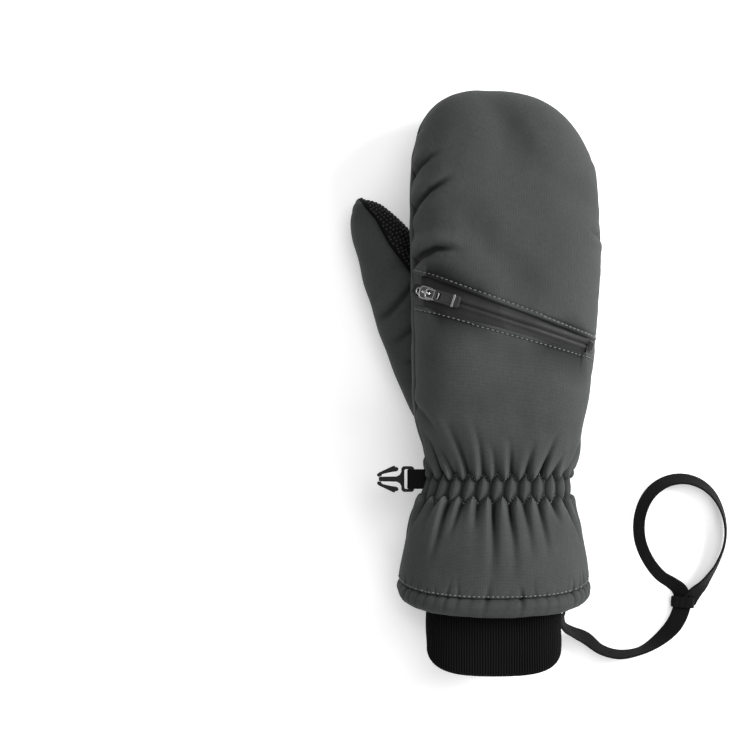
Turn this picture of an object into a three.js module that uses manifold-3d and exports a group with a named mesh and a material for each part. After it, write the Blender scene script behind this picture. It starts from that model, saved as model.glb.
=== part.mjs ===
// A right-hand ski mitten, lying palm down: the back of the hand is up (+Z), the finger tips are at +Y,
// the thumb and the clip are on the -X side, and the wrist leash is on the +X side. Millimetres.
// The origin is on the surface it lies on, under the middle of the palm.
import * as THREE from "three";
import { mergeVertices } from "three/addons/utils/BufferGeometryUtils.js";
import Module from "manifold-3d";

const wasm = await Module();
wasm.setup();

// ---- Driving dimensions ----

const GAP = 0.3; // between pieces that meet
const PLAY = 2; // between the thumb and the hand that it swings in

// Cross-sections of the hand and gauntlet. Each row: y, the edge on the thumb side, the edge on the
// little-finger side, the height of the side seam, the rise above it, the depth below it, how much higher
// the seam is on the thumb side, and how far the palm is lifted there over the thumb.
const SECTIONS = [
  [-158, -56.0, 44.0, 30.0, 31.0, 31.5, 0, 0],
  [-150, -56.2, 44.0, 30.0, 31.0, 31.5, 0, 0],
  [-136, -54.8, 42.8, 29.5, 30.0, 30.5, 0, 0],
  [-120, -51.0, 40.0, 28.5, 27.0, 28.0, 0, 0],
  [-107, -46.2, 35.6, 27.5, 23.5, 24.0, 0, 0],
  [-99, -42.2, 34.8, 27.0, 22.0, 22.0, 0, 0],
  [-90, -41.4, 35.2, 27.0, 22.5, 23.0, 0, 0],
  [-76, -44.2, 39.4, 27.5, 25.5, 26.0, 3, 8],
  [-62, -48.4, 42.4, 28.0, 28.5, 30.5, 7, 20],
  [-40, -49.5, 46.2, 28.0, 32.0, 31.5, 9, 24],
  [-10, -49.8, 49.0, 28.0, 32.0, 31.5, 9, 24],
  [20, -50.4, 50.9, 28.0, 31.5, 31.5, 9, 24],
  [50, -50.7, 50.0, 27.0, 29.0, 30.5, 9, 23],
  [80, -50.0, 49.5, 26.5, 28.5, 28.0, 6, 10],
  [112, -50.0, 49.5, 25.0, 28.0, 27.0, 3, 0],
];
const TIP_Y = 111.3; // finger tip
const DOME_Y = 50; // the finger tip is a dome from here on
const DOME_POWER = 2.5; // how square the dome is
const DOME_LEAN = 8.5; // the dome leans to the thumb side by this much
const FULLNESS = 2.4; // how square the padded sections are
const HEM_BULGE = 9; // the hem reaches this much further at the middle than at its sides
const HEM_Y = -146; // where the shell ends at the sides
const TILT_SPAN = [-0.9, 0.3]; // the tilt fades over this part of the half width, -1 being the thumb side
const LIFT_SPAN = [-0.45, 0.05]; // the lift fades over this part
const EDGE_SPAN = [-1, -0.92]; // the thumb-side edge, where the layers' seams lie higher as they lie deeper
const EDGE_SHARE = 0.0125;

// Distances in from the outside of the shell, where each layer starts and ends.
const SHELL = [0, 1.6];
const ELASTIC = [2.0, 2.8];
const PADDING = [3.6, 7.0];
const MEMBRANE = [7.5, 8.1];
const LINING = [8.8, 10.2];
const POCKET_ROOM = 7.4; // the layers lie this much deeper under the zip pocket
const ELASTIC_Y = [-105, -93];
const SEAM_STRIP = 5; // half the height of the side strips
const SEAM_LAP = 6; // how far the back and palm cloths reach past the strips' height in the gauntlet
const STRIP_END_Y = -84; // the side strips run into the wrist gathers here
const TIP_SEAM_X = -9; // the two side strips meet here at the finger tip
const POCKET_Y = { start: [-84, -66], end: [20, 46] }; // where the room for the pocket opens and closes
const HEM = { height: 8.4, insets: [3.4, 0.4, -0.8, 0.2, 2.4], inside: 6.4 };

const ZIP_ANGLE = THREE.MathUtils.degToRad(-17.6); // the zip runs down towards the little finger
const ZIP_Y = -10.9; // where its centre line passes x = 0
const ZIP_RADIUS = 95.6; // top of the tapes, which curve over the back
const ZIP_CENTRE = [-9.7, -34.9]; // centre of that curve: along the zip, and height
const TAPE = 0.9;
const TAPE_REACH = [10.5, 7.5]; // half width of the two tapes, at the thumb side and at the little finger
const TAPE_ENDS = [-50, 50];
const ZIP_GAP = 1.4; // between the two rows of coil
const COIL = { wide: 1.9, thick: 1.3, ends: [-49, 47] };
const STOP = { at: [-51.5, 49], long: 2.4, wide: 3.8, thick: 1, lift: 0.35 };
const ZIP_ROOM = 0.6; // between the tapes' edges and the cut in the cloth
const STOP_ROOM = { along: [-53, -50], half: 2.3, above: 1.7 };
const TALL_CUT = 8; // a cut for the zip goes this much deeper than the tapes
const SLIDER_AT = -44.5; // along the zip, in its closed place

const THUMB_ROOT = [-40, -53]; // where the thumb swings
const THUMB_LEAN = THREE.MathUtils.degToRad(18);
const THUMB_SWING = [-10, 5, 20]; // places of the thumb that the hand stays clear of, degrees
const THUMB_SHELL = [0, 1.4];
const THUMB_PADDING = [1.8, 5];
const THUMB_LINING = [5.4, 6.8];
// The oval hole that joins the thumb's room to the hand's, in the thumb's own axes.
const THUMB_HOLE = { along: -2, across: 9, long: 17, wide: 10.5, sides: 14 };
// The thumb along its own axis: distance from its swing axis, outer edge, inner edge, lowest and
// highest point.
const THUMB = [
  [-32, 3, 11, 5.0, 20.0],
  [-27, -3, 18, 2.5, 24.0],
  [-16, -8, 26, 0.6, 27.0],
  [0, -11.5, 31, 0.0, 28.0],
  [20, -13.3, 32, 0.0, 28.0],
  [45, -14.4, 30, 0.0, 28.0],
  [68, -14.0, 25.5, 0.2, 28.0],
  [86, -12.8, 19.5, 0.6, 27.5],
  [97, -11.8, 14.8, 1.2, 26.5],
  [105, -10.4, 9.6, 2.4, 25.0],
  [110, -7.8, 5.0, 4.4, 22.6],
  [113, -5.0, 0.6, 7.5, 19.0],
];
// The seam between the thumb's grey and black cloth: distance along, and across.
const THUMB_SEAM = [[125, -6], [113, -2.4], [100, 2.6], [86, 5], [67, 11.5], [30, 18], [-25, 24], [-45, 26]];

const CUFF = { x: -6.1, halfWidth: 35.8, z: 29.5, halfHeight: 18.5, wall: 3.2, endCurve: 11 };
const CUFF_Y = [-186, -141.5];

const CLIP_Y = -95.1; // centre line of the clip
const CLIP_Z = 27;
const CLIP_BAR_X = -49.3; // the bar that the webbing goes round
const CLIP_TIP_X = -67.3;
const CLIP_WEBBING = { thick: 1.2, width: 10, inner: 1.5, endX: -44.2 };
const LEASH_RADIUS = 4;
const LEASH_EYE = { wall: 1.4, room: 0.9, long: 5, at: [98.4, -163.6, 6.3], turn: -8 };
const LEASH_TAIL = { size: [8.2, 2.4, 8], at: [106.2, -158.6, 6], turn: 50 };
const LEASH_ANCHOR = { x: [26.4, 32.6], y: [-167.2, -153], z: [17.4, 19.8] };
// The bag: half width, foot, how far its mouth is below the zip's lower edge, and its layers' depths.
const POCKET = { half: 37, foot: -62, mouth: -9, wall: 1.4, layers: [2.1, 5.4], hollow: [2.9, 4.6] };

const AROUND = 20; // sides of the hand's skins
const FAR = 140; // beyond every piece, for cutting
const DEEP = -20;
const HIGH = 120;
const ORIGIN_X = 9; // the origin is this far from the middle of the hand, under the flat of the palm

// ---- Materials ----

const cloth = (colour, roughness = 0.75) => ({ color: colour, roughness, metalness: 0 });
const GREY_CLOTH = cloth(0x4a4d4b);
const GRIP_CLOTH = cloth(0x17181a, 0.6);
const KNIT = cloth(0x101011, 0.95);
const WEBBING = cloth(0x0e0e0f, 0.8);
const PLASTIC = cloth(0x0b0b0c, 0.4);
const TAPE_CLOTH = cloth(0x1b1b1d, 0.35);
const METAL = { color: 0x8c8c8e, roughness: 0.25, metalness: 1 };
const WADDING = cloth(0xd8d8d4, 1);
const FILM = cloth(0xb9c2c6, 0.4);
const FLEECE = cloth(0x2b2c2e, 1);

// ---- Solids ----

// A closed three.js geometry as a solid that can be joined and cut.
function solidOf(geometry) {
  const bare = geometry.clone();
  bare.deleteAttribute("normal");
  bare.deleteAttribute("uv");
  const merged = mergeVertices(bare, 1e-4);
  const mesh = new wasm.Mesh({
    numProp: 3,
    vertProperties: new Float32Array(merged.attributes.position.array),
    triVerts: new Uint32Array(merged.index.array),
  });
  return new wasm.Manifold(mesh);
}

function geometryOf(solid) {
  const { vertProperties, triVerts } = solid.getMesh();
  const geometry = new THREE.BufferGeometry();
  geometry.setAttribute("position", new THREE.BufferAttribute(vertProperties, 3));
  geometry.setIndex(new THREE.BufferAttribute(triVerts, 1));
  const flat = geometry.toNonIndexed();
  flat.computeVertexNormals();
  return flat;
}

const join = (solids) => solids.reduce((whole, next) => whole.add(next));
const largest = (solid) => solid.decompose().reduce((a, b) => (a.volume() > b.volume() ? a : b));

// A skin through a stack of rings, made by moving the points of a cylinder: place(ring, angle) gives each
// point, and place(ring, null) the middle of an end ring. The rings follow +Y.
function loft(rings, around, place) {
  const skin = new THREE.CylinderGeometry(1, 1, rings - 1, around, rings - 1);
  const points = skin.getAttribute("position");
  for (let i = 0; i < points.count; i++) {
    const [x, z] = [points.getX(i), points.getZ(i)];
    const ring = Math.round(points.getY(i) + (rings - 1) / 2);
    const angle = Math.hypot(x, z) < 0.5 ? null : Math.atan2(z, x);
    points.setXYZ(i, ...place(ring, angle));
  }
  return solidOf(skin);
}

// An outline in the XY plane as a solid from z0 to z1.
function prism(outline, z0, z1) {
  const shape = new THREE.Shape(outline.map(([x, y]) => new THREE.Vector2(x, y)));
  const block = new THREE.ExtrudeGeometry(shape, { depth: z1 - z0, bevelEnabled: false });
  return solidOf(block.translate(0, 0, z0));
}

function box(x0, x1, y0, y1, z0, z1) {
  const block = new THREE.BoxGeometry(x1 - x0, y1 - y0, z1 - z0);
  return solidOf(block.translate((x0 + x1) / 2, (y0 + y1) / 2, (z0 + z1) / 2));
}

// ---- The shape of the hand ----

// A smooth curve through the rows of a table, read at one place of its first column.
function readAt(rows, at) {
  const last = rows.length - 2;
  let k = rows.findIndex((row, i) => i > 0 && at < row[0]) - 1;
  k = k < 0 ? last : k;
  const step = rows[k + 1][0] - rows[k][0];
  const t = THREE.MathUtils.clamp((at - rows[k][0]) / step, 0, 1);
  const slope = (i, c) => {
    const [a, b] = [Math.max(i - 1, 0), Math.min(i + 1, rows.length - 1)];
    return (rows[b][c] - rows[a][c]) / (rows[b][0] - rows[a][0]);
  };
  const [t2, t3] = [t * t, t * t * t];
  return rows[k].map((value, c) => {
    const rise = (t3 - 2 * t2 + t) * slope(k, c) + (t3 - t2) * slope(k + 1, c);
    return (2 * t3 - 3 * t2 + 1) * value + (3 * t2 - 2 * t3) * rows[k + 1][c] + step * rise;
  });
}

// A unit outline between an ellipse and a rectangle, at an angle.
function padded(angle, power = FULLNESS) {
  const swell = (value) => Math.sign(value) * Math.abs(value) ** (2 / power);
  return [swell(Math.cos(angle)), swell(Math.sin(angle))];
}

const ramp = (x, from, to) => THREE.MathUtils.smoothstep((x - from) / (to - from), 0, 1);

// Room left under the back of the hand for the zip and its pocket.
const pocketRoom = (y) => POCKET_ROOM * ramp(y, ...POCKET_Y.start) * (1 - ramp(y, ...POCKET_Y.end));

// A point of the hand's surface at y and an angle round it, moved in by the inset on every side. In the dome
// y is measured on the outside, and each layer's dome is as much shorter as it lies deeper.
function handPoint(y, angle, inset, room = 0) {
  const [, thumbX, littleX, seamZ, rise, depth, tilt, lift] = readAt(SECTIONS, y);
  const t = Math.max(0, (y - DOME_Y) / (TIP_Y - DOME_Y));
  const round = (1 - t ** DOME_POWER) ** (1 / DOME_POWER);
  const [across, up] = angle === null ? [0, 0] : padded(angle);
  const x = (thumbX + littleX) / 2 - DOME_LEAN * t * t + ((littleX - thumbX) / 2 - inset) * round * across;
  const half = up > 0 ? rise - inset - room : depth - inset - lift * (1 - ramp(across, ...LIFT_SPAN));
  const deeper = EDGE_SHARE * inset * lift * (1 - ramp(across, ...EDGE_SPAN));
  const z = seamZ + tilt * (1 - ramp(across, ...TILT_SPAN)) + deeper + half * round * up;
  const yHere = t > 0 ? DOME_Y + t * (TIP_Y - inset - DOME_Y) : y;
  const bulge = HEM_BULGE * (1 - ramp(y, HEM_Y - 4, -104)) * Math.abs(up);
  return [x, yHere - bulge, Math.max(z, inset, 0)];
}

const domeRows = (steps) => steps.map((t) => DOME_Y + t * (TIP_Y - DOME_Y));
const DOME_ROWS = domeRows([0.35, 0.6, 0.8, 0.92, 0.99]);
const HAND_ROWS = [-114, ...ELASTIC_Y, -82, -70, -54, -28, 0, 26, DOME_Y, ...DOME_ROWS];
const OUTER_ROWS = [HEM_Y, -128, ...HAND_ROWS];
const INNER_ROWS = [HEM_Y + 3.5, -128, ...HAND_ROWS];

// The hand's outside or one of its layers' surfaces. past lengthens its open end, for cutting a hollow.
function outerSolid(inset, past = 0) {
  const rows = past ? [HEM_Y - past, ...OUTER_ROWS] : OUTER_ROWS;
  return loft(rows.length, AROUND, (ring, angle) => handPoint(rows[ring], angle, inset));
}
function innerSolid(inset, past = 0) {
  const rows = past ? [INNER_ROWS[0] - past, ...INNER_ROWS] : INNER_ROWS;
  const point = (y, angle) => handPoint(y, angle, inset, pocketRoom(y));
  return loft(rows.length, AROUND, (ring, angle) => point(rows[ring], angle));
}

// A slab that follows the side seam round the hand, between two heights beside it.
const SLAB_ROWS = [-175, -90, -76, -62, -40, 50, 80, 130];
const SLAB_REACH = 90; // the slab's half width, which the slope of the seam is spread over
function seamSlab(low, high) {
  return loft(SLAB_ROWS.length, 4, (ring, angle) => {
    const y = SLAB_ROWS[ring];
    const [, , , seamZ, , , tilt] = readAt(SECTIONS, y);
    if (angle === null) return [0, y, seamZ + tilt / 2 + (low + high) / 2];
    const corner = Math.round((angle / Math.PI) * 2 + 4) % 4;
    const thumbSide = corner === 2 || corner === 3;
    const upper = corner === 1 || corner === 2;
    const z = seamZ + (thumbSide ? tilt : 0) + (upper ? high : low);
    return [thumbSide ? -SLAB_REACH : SLAB_REACH, y, z];
  });
}

// ---- The thumb ----

// From the thumb's own axes (along, across) to the hand's.
function fromThumb(along, across) {
  const [sin, cos] = [Math.sin(THUMB_LEAN), Math.cos(THUMB_LEAN)];
  return [THUMB_ROOT[0] - sin * along + cos * across, THUMB_ROOT[1] + cos * along + sin * across];
}

function thumbSolid(inset, around = 12) {
  const length = THUMB[THUMB.length - 1][0] - THUMB[0][0];
  const squeeze = (length - 2 * inset) / length;
  const middle = THUMB[0][0] + length / 2;
  return loft(THUMB.length, around, (ring, angle) => {
    const [along, outer, inner, low, high] = THUMB[ring];
    const [across, up] = angle === null ? [0, 0] : padded(angle);
    const half = Math.max((inner - outer) / 2 - inset, 0.8);
    const tall = Math.max((high - low) / 2 - inset, 0.8);
    const place = fromThumb(middle + (along - middle) * squeeze, (inner + outer) / 2 + half * across);
    return [...place, (low + high) / 2 + tall * up];
  });
}

// Everything that the thumb passes through as it swings.
function thumbPath() {
  const thumb = thumbSolid(-PLAY);
  const [x, y] = THUMB_ROOT;
  return join(THUMB_SWING.map((turn) => thumb.translate(-x, -y, 0).rotate(0, 0, turn).translate(x, y, 0)));
}

const thumbHole = (z0, z1) => {
  const { along, across, long, wide, sides } = THUMB_HOLE;
  const ring = new THREE.EllipseCurve(along, across, long, wide).getPoints(sides).slice(0, sides);
  return prism(ring.map((p) => fromThumb(p.x, p.y)), z0, z1);
};

// ---- The hand's pieces ----

const path = thumbPath();
const holeInPalm = thumbHole(10, 44);
const shell = outerSolid(SHELL[0]).subtract(outerSolid(SHELL[1], 12));
const upperShell = shell.subtract(seamSlab(-FAR, SEAM_STRIP + GAP / 2));
const lowerShell = shell.subtract(seamSlab(-SEAM_STRIP - GAP / 2, FAR)).subtract(path);
const sideShell = shell.intersect(seamSlab(-SEAM_STRIP + GAP / 2, SEAM_STRIP - GAP / 2));

// Lines across the hand, as outlines of everything on one side of them. x is where, y is how far up.
const above = (line) => [[-FAR, FAR], ...line, [FAR, FAR]];
const below = (line) => [[-FAR, -2 * FAR], [FAR, -2 * FAR], ...[...line].reverse()];
const moved = (line, dy) => line.map(([x, y]) => [x, y + dy]);

// The zip's opening is wider on the thumb side.
const zipUpperEdge = [[-FAR, 45.9], [-45.6, 11.7], [46.6, -21.7], [FAR, -55.5]];
const zipLowerEdge = [[-FAR, 21.6], [-47.7, -3.7], [47.2, -29.7], [FAR, -55.1]];
const fingerPatchEdge = [[-FAR, 31], [-45.5, 31], [-24, 46.5], [0, 52], [24, 47.5], [47, 33], [FAR, 33]];
const palmPatchTop = [[-FAR, 10], [-30, 10], [13, 6], [49, -6.9], [FAR, -6.9]];
const palmPatchFoot = [[-FAR, -68], [-6, -68], [10, -68], [43, -58.8], [FAR, -56]];

const tall = (outline) => prism(outline, DEEP, HIGH);
const between = (upper, lower) =>
  tall(above(moved(lower, GAP / 2))).intersect(tall(below(moved(upper, -GAP / 2))));

// What the panels leave free for the tapes and for the stop at the zip's start.
function zipRoom() {
  const [start, end] = TAPE_REACH.map((reach) => [-reach - ZIP_ROOM, reach + ZIP_ROOM]);
  const along = [TAPE_ENDS[0] - ZIP_ROOM, TAPE_ENDS[1] + ZIP_ROOM];
  const across = [-STOP_ROOM.half, STOP_ROOM.half];
  const stopCut = zipStrip(STOP_ROOM.along, across, across, -STOP_ROOM.above, TAPE + TALL_CUT);
  return zipStrip(along, start, end, -GAP, TAPE + TALL_CUT).add(stopCut);
}
const underPanels = zipRoom();
const backPanelUpper = () => upperShell.intersect(tall(above(zipUpperEdge))).subtract(underPanels);
const backPanelLower = () => upperShell.intersect(tall(below(zipLowerEdge))).subtract(underPanels);
const fingertipGripPatch = () => lowerShell.intersect(tall(above(moved(fingerPatchEdge, GAP / 2))));
const palmMidPanel = () => lowerShell.intersect(between(fingerPatchEdge, palmPatchTop));
const palmGripPatch = () => lowerShell.subtract(holeInPalm).intersect(between(palmPatchTop, palmPatchFoot));

// Below the side strips' ends the back and palm cloths meet at the seam itself.
function gauntletHalf(main, seamLow, seamHigh) {
  const belowStrips = box(-FAR, FAR, -2 * FAR, STRIP_END_Y - GAP, DEEP, HIGH);
  return main.add(shell.subtract(path).intersect(belowStrips).intersect(seamSlab(seamLow, seamHigh)));
}
const backPanelLowerWhole = () => gauntletHalf(backPanelLower(), GAP / 2, SEAM_LAP);
const palmHeelPanel = () => {
  const heel = lowerShell.intersect(tall(below(moved(palmPatchFoot, -GAP / 2))));
  return gauntletHalf(heel, -SEAM_LAP, -GAP / 2);
};

function sideStrip(thumbSide) {
  const x = thumbSide ? [-FAR, TIP_SEAM_X - GAP / 2] : [TIP_SEAM_X + GAP / 2, FAR];
  return sideShell.subtract(path).subtract(holeInPalm).intersect(box(...x, STRIP_END_Y, FAR, DEEP, HIGH));
}

// A layer inside the hand, with the thumb's room and the thumb hole cut out of it.
function innerLayer([from, to], end = 20) {
  return innerSolid(from).subtract(innerSolid(to, end)).subtract(path).subtract(holeInPalm);
}

function cuffPoint(y, angle, inset) {
  const [across, up] = angle === null ? [0, 0] : padded(angle);
  const halfWidth = CUFF.halfWidth - inset;
  const halfHeight = CUFF.halfHeight - inset;
  return [CUFF.x + halfWidth * across, y, CUFF.z + halfHeight * up];
}

// The lining narrows inside the gauntlet to meet the knitted cuff.
function liningSolid(inset, past) {
  const end = CUFF_Y[1] + GAP;
  const rows = [end - past, -128, ...HAND_ROWS];
  const cuffInset = (inset - LINING[0]) * 1.6;
  return loft(rows.length, AROUND, (ring, angle) => {
    const y = rows[ring];
    const hand = handPoint(y, angle, inset, pocketRoom(y));
    const cuff = cuffPoint(y, angle, cuffInset);
    const share = 1 - ramp(y, CUFF_Y[1], -112);
    return hand.map((value, i) => value + (cuff[i] - value) * share);
  });
}
const fleeceLining = () =>
  liningSolid(LINING[0], 0).subtract(liningSolid(LINING[1], 10)).subtract(path).subtract(holeInPalm);

// The elastic that gathers the wrist, sewn flat behind the shell.
function wristElastic() {
  const band = (inset, past) =>
    loft(2, AROUND, (ring, angle) => {
      const [x, y, z] = handPoint(ELASTIC_Y[ring], angle, inset);
      return [x, y + (ring ? past : -past), z];
    });
  return band(ELASTIC[0], 0).subtract(band(ELASTIC[1], 3));
}

// The padded, turned edge of the gauntlet.
function hemRoll() {
  const { height, insets } = HEM;
  const place = (inset, share, angle) => {
    const [x, y, z] = handPoint(HEM_Y, angle, inset);
    return [x, y - GAP - height * (1 - share), z];
  };
  const outside = loft(5, AROUND, (ring, angle) => place(insets[ring], ring / 4, angle));
  const inside = loft(2, AROUND, (ring, angle) => place(HEM.inside, ring * 2 - 0.5, angle));
  return outside.subtract(inside);
}

function knitCuff() {
  const rows = [CUFF_Y[0], CUFF_Y[0] + 3, CUFF_Y[0] + 12, -160, CUFF_Y[1]];
  const insets = [1.2, 0.2, 0, 0, 0];
  const curved = (ring, angle, inset) => {
    const [x, y, z] = cuffPoint(rows[ring], angle, inset);
    const up = angle === null ? 1 : Math.abs(padded(angle)[1]);
    const share = 1 - ramp(rows[ring], CUFF_Y[0], -158);
    return [x, y - CUFF.endCurve * share * up ** 0.6, z];
  };
  const outside = loft(rows.length, AROUND, (ring, angle) => curved(ring, angle, insets[ring]));
  const through = loft(2, AROUND, (ring, angle) => {
    const [x, , z] = cuffPoint(0, angle, CUFF.wall);
    return [x, ring ? CUFF_Y[1] + 5 : CUFF_Y[0] - 20, z];
  });
  return outside.subtract(through);
}

// ---- The thumb's pieces ----

const thumbOpening = thumbHole(13, 60);
const thumbLayer = ([from, to]) => thumbSolid(from).subtract(thumbSolid(to)).subtract(thumbOpening);
const thumbShell = thumbLayer(THUMB_SHELL);

// One side of the thumb's seam: the black cloth faces the hand.
function thumbPanel(inner) {
  const side = inner ? 1 : -1;
  const line = THUMB_SEAM.map(([along, across]) => fromThumb(along, across + (side * GAP) / 2));
  const far = [fromThumb(-45, side * 90), fromThumb(125, side * 90)];
  return largest(thumbShell.intersect(prism([...line, ...far], -20, 80)));
}

// ---- The zip ----

// Along the zip, across it and out from its centre of curvature, as a place on the curved back.
function onZip(along, across, radius) {
  const turn = (along - ZIP_CENTRE[0]) / ZIP_RADIUS;
  const run = ZIP_CENTRE[0] + radius * Math.sin(turn);
  const [sin, cos] = [Math.sin(ZIP_ANGLE), Math.cos(ZIP_ANGLE)];
  const z = ZIP_CENTRE[1] + radius * Math.cos(turn);
  return [run * cos - across * sin, ZIP_Y + run * sin + across * cos, z];
}

// A strip bent along the zip. Its edges may run at a slant: across is [near edge, far edge] at each end.
function zipStrip(along, acrossStart, acrossEnd, depth, thick) {
  const steps = 12;
  const strip = new THREE.BoxGeometry(1, 1, 1, steps, 1, 1);
  const points = strip.getAttribute("position");
  for (let i = 0; i < points.count; i++) {
    const share = points.getX(i) + 0.5;
    const [near, far] = [0, 1].map((k) => THREE.MathUtils.lerp(acrossStart[k], acrossEnd[k], share));
    const across = points.getY(i) < 0 ? near : far;
    const radius = ZIP_RADIUS - depth - (points.getZ(i) < 0 ? thick : 0);
    points.setXYZ(i, ...onZip(THREE.MathUtils.lerp(...along, share), across, radius));
  }
  return solidOf(strip);
}

// Two places across the zip on one side of its middle, in rising order.
const onSide = (side, near, far) => [side * near, side * far].sort((a, b) => a - b);
function zipTape(side) {
  const [start, end] = TAPE_REACH.map((reach) => onSide(side, ZIP_GAP / 2, reach));
  return zipStrip(TAPE_ENDS, start, end, 0, TAPE);
}
const COIL_DEPTH = TAPE + GAP;
function zipCoil(side) {
  const edges = onSide(side, ZIP_GAP / 2, ZIP_GAP / 2 + COIL.wide);
  return zipStrip(COIL.ends, edges, edges, COIL_DEPTH, COIL.thick);
}
function zipStop(at) {
  const across = [-STOP.wide / 2, STOP.wide / 2];
  const along = [at - STOP.long / 2, at + STOP.long / 2];
  return zipStrip(along, across, across, -STOP.lift - STOP.thick, STOP.thick);
}

// A flat piece of the slider, laid on the zip: lengths are from the slider's own middle.
function onSlider(solid) {
  const turn = (SLIDER_AT - ZIP_CENTRE[0]) / ZIP_RADIUS;
  const [x, y, z] = onZip(SLIDER_AT, 0, ZIP_RADIUS);
  const [pitch, yaw] = [turn, ZIP_ANGLE].map(THREE.MathUtils.radToDeg);
  return solid.rotate(0, pitch, 0).rotate(0, 0, yaw).translate(x, y, z);
}

const SLIDER = { long: 9, wide: 7, corner: 2.6, plate: 1.3, lift: 0.4 };
const UNDER_PLATE = { long: 7.5, wide: 5.2, corner: 1.6, thick: 0.8, room: 0.45 };
const KEEL = { half: 2.6, thick: 0.7 };
const ARCH = { inner: 1.9, outer: 3, wide: 1.6 };
const PULL_BAR = SLIDER.lift + SLIDER.plate + 0.95; // height of the bar that the pull turns on

function roundedPlate(long, wide, corner, z0, z1, x0 = -long / 2) {
  const [r, h] = [corner, wide / 2];
  const shape = new THREE.Shape();
  shape.absarc(x0 + long - r, h - r, r, 0, Math.PI / 2);
  shape.absarc(x0 + r, h - r, r, Math.PI / 2, Math.PI);
  shape.absarc(x0 + r, r - h, r, Math.PI, 1.5 * Math.PI);
  shape.absarc(x0 + long - r, r - h, r, 1.5 * Math.PI, 2 * Math.PI);
  const plate = new THREE.ExtrudeGeometry(shape, { depth: z1 - z0, bevelEnabled: false, curveSegments: 4 });
  return solidOf(plate.translate(0, 0, z0));
}

// The slider: a plate over the tapes, a plate under the coils, a keel between them, and an arch on top.
function zipSlider() {
  const { long, wide, corner, plate, lift } = SLIDER;
  const under = -(COIL_DEPTH + COIL.thick + UNDER_PLATE.room);
  const top = roundedPlate(long, wide, corner, lift, lift + plate);
  const bottom = roundedPlate(UNDER_PLATE.long, UNDER_PLATE.wide, UNDER_PLATE.corner,
    under - UNDER_PLATE.thick, under);
  const halfKeel = KEEL.thick / 2;
  const keel = box(-KEEL.half, KEEL.half, -halfKeel, halfKeel, under - halfKeel, lift + halfKeel);
  const arch = new THREE.Shape();
  arch.absarc(0, 0, ARCH.outer, 0, Math.PI);
  arch.absarc(0, 0, ARCH.inner, Math.PI, 0, true);
  const bent = new THREE.ExtrudeGeometry(arch, { depth: ARCH.wide, bevelEnabled: false, curveSegments: 6 });
  bent.translate(0, 0, -ARCH.wide / 2).rotateX(Math.PI / 2).translate(0, 0, lift + plate - GAP / 2);
  return onSlider(join([top, bottom, keel, solidOf(bent)]));
}

// The pull: a metal loop in the slider's arch, a flat tab on the loop, and a bright clip round the tab.
const PULL = { loop: 7, loopWide: 5.6, wire: 1.1, tabStart: 4.6, tab: 14.5, tabWide: 6.2, tabThick: 2 };
function pullLoop(grow = 0) {
  const { loop, loopWide, wire } = PULL;
  const z = PULL_BAR;
  const outside = roundedPlate(loop + wire + 2 * grow, loopWide + 2 * grow, 1.4, z - wire / 2 - grow,
    z + wire / 2 + grow, -wire / 2 - grow);
  const window = roundedPlate(loop - wire - 2 * grow, loopWide - 2 * wire - 2 * grow, 0.5, z - 5, z + 5,
    wire / 2 + grow);
  return outside.subtract(window);
}
const zipPullLoop = () => onSlider(pullLoop());
function zipPullTab() {
  const { tabStart, tab, tabWide, tabThick } = PULL;
  const z = PULL_BAR;
  const plate = roundedPlate(tab, tabWide, 1.4, z - tabThick / 2, z + tabThick / 2, tabStart);
  const waist = [1, -1].map((side) => {
    const y = onSide(side, tabWide / 2 - 0.5, tabWide);
    return box(tabStart + 10.4, tabStart + 12.2, ...y, 0, 9);
  });
  return onSlider(plate.subtract(pullLoop(GAP)).subtract(join(waist)));
}
function zipPullClip() {
  const { tabStart, tabWide, tabThick } = PULL;
  const z = PULL_BAR;
  const [x0, x1, half] = [tabStart + 10.75, tabStart + 11.85, tabWide / 2 - 0.5];
  const outside = box(x0, x1, -half - 0.8, half + 0.8, z - tabThick / 2 - 0.75, z + tabThick / 2 + 0.75);
  const inside = box(x0 - 1, x1 + 1, -half - 0.2, half + 0.2, z - tabThick / 2 - 0.2, z + tabThick / 2 + 0.2);
  return onSlider(outside.subtract(inside));
}

// The flat bag behind the zip, open towards it.
function pocketBag() {
  const { half, foot, mouth, wall, layers, hollow } = POCKET;
  const belowSeam = seamSlab(-FAR, 2 * SEAM_STRIP + 1);
  const layer = ([from, to]) => outerSolid(from).subtract(outerSolid(to)).subtract(belowSeam);
  const within = (edge, inset) => {
    const block = box(inset - half, half - inset, foot + inset, FAR, DEEP, HIGH);
    return tall(below(moved(zipLowerEdge, edge))).intersect(block);
  };
  const room = layer(hollow).intersect(within(mouth + 5, wall));
  return layer(layers).intersect(within(mouth, 0)).subtract(room);
}

// ---- The clip ----

// The clip's webbing, folded round the bar, with its ends sewn in behind the wrist gathers.
function clipWebbing() {
  const { thick, width, inner, endX } = CLIP_WEBBING;
  const barX = CLIP_BAR_X;
  const shape = new THREE.Shape();
  shape.moveTo(endX, inner + thick);
  shape.lineTo(barX, inner + thick);
  shape.absarc(barX, 0, inner + thick, Math.PI / 2, 1.5 * Math.PI);
  shape.lineTo(endX, -inner - thick);
  shape.lineTo(endX, -inner);
  shape.lineTo(barX, -inner);
  shape.absarc(barX, 0, inner, 1.5 * Math.PI, Math.PI / 2, true);
  shape.lineTo(endX, inner);
  const fold = new THREE.ExtrudeGeometry(shape, { depth: width, bevelEnabled: false, curveSegments: 5 });
  fold.rotateX(Math.PI / 2).translate(0, CLIP_Y + width / 2, CLIP_Z);
  return solidOf(fold);
}

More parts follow.
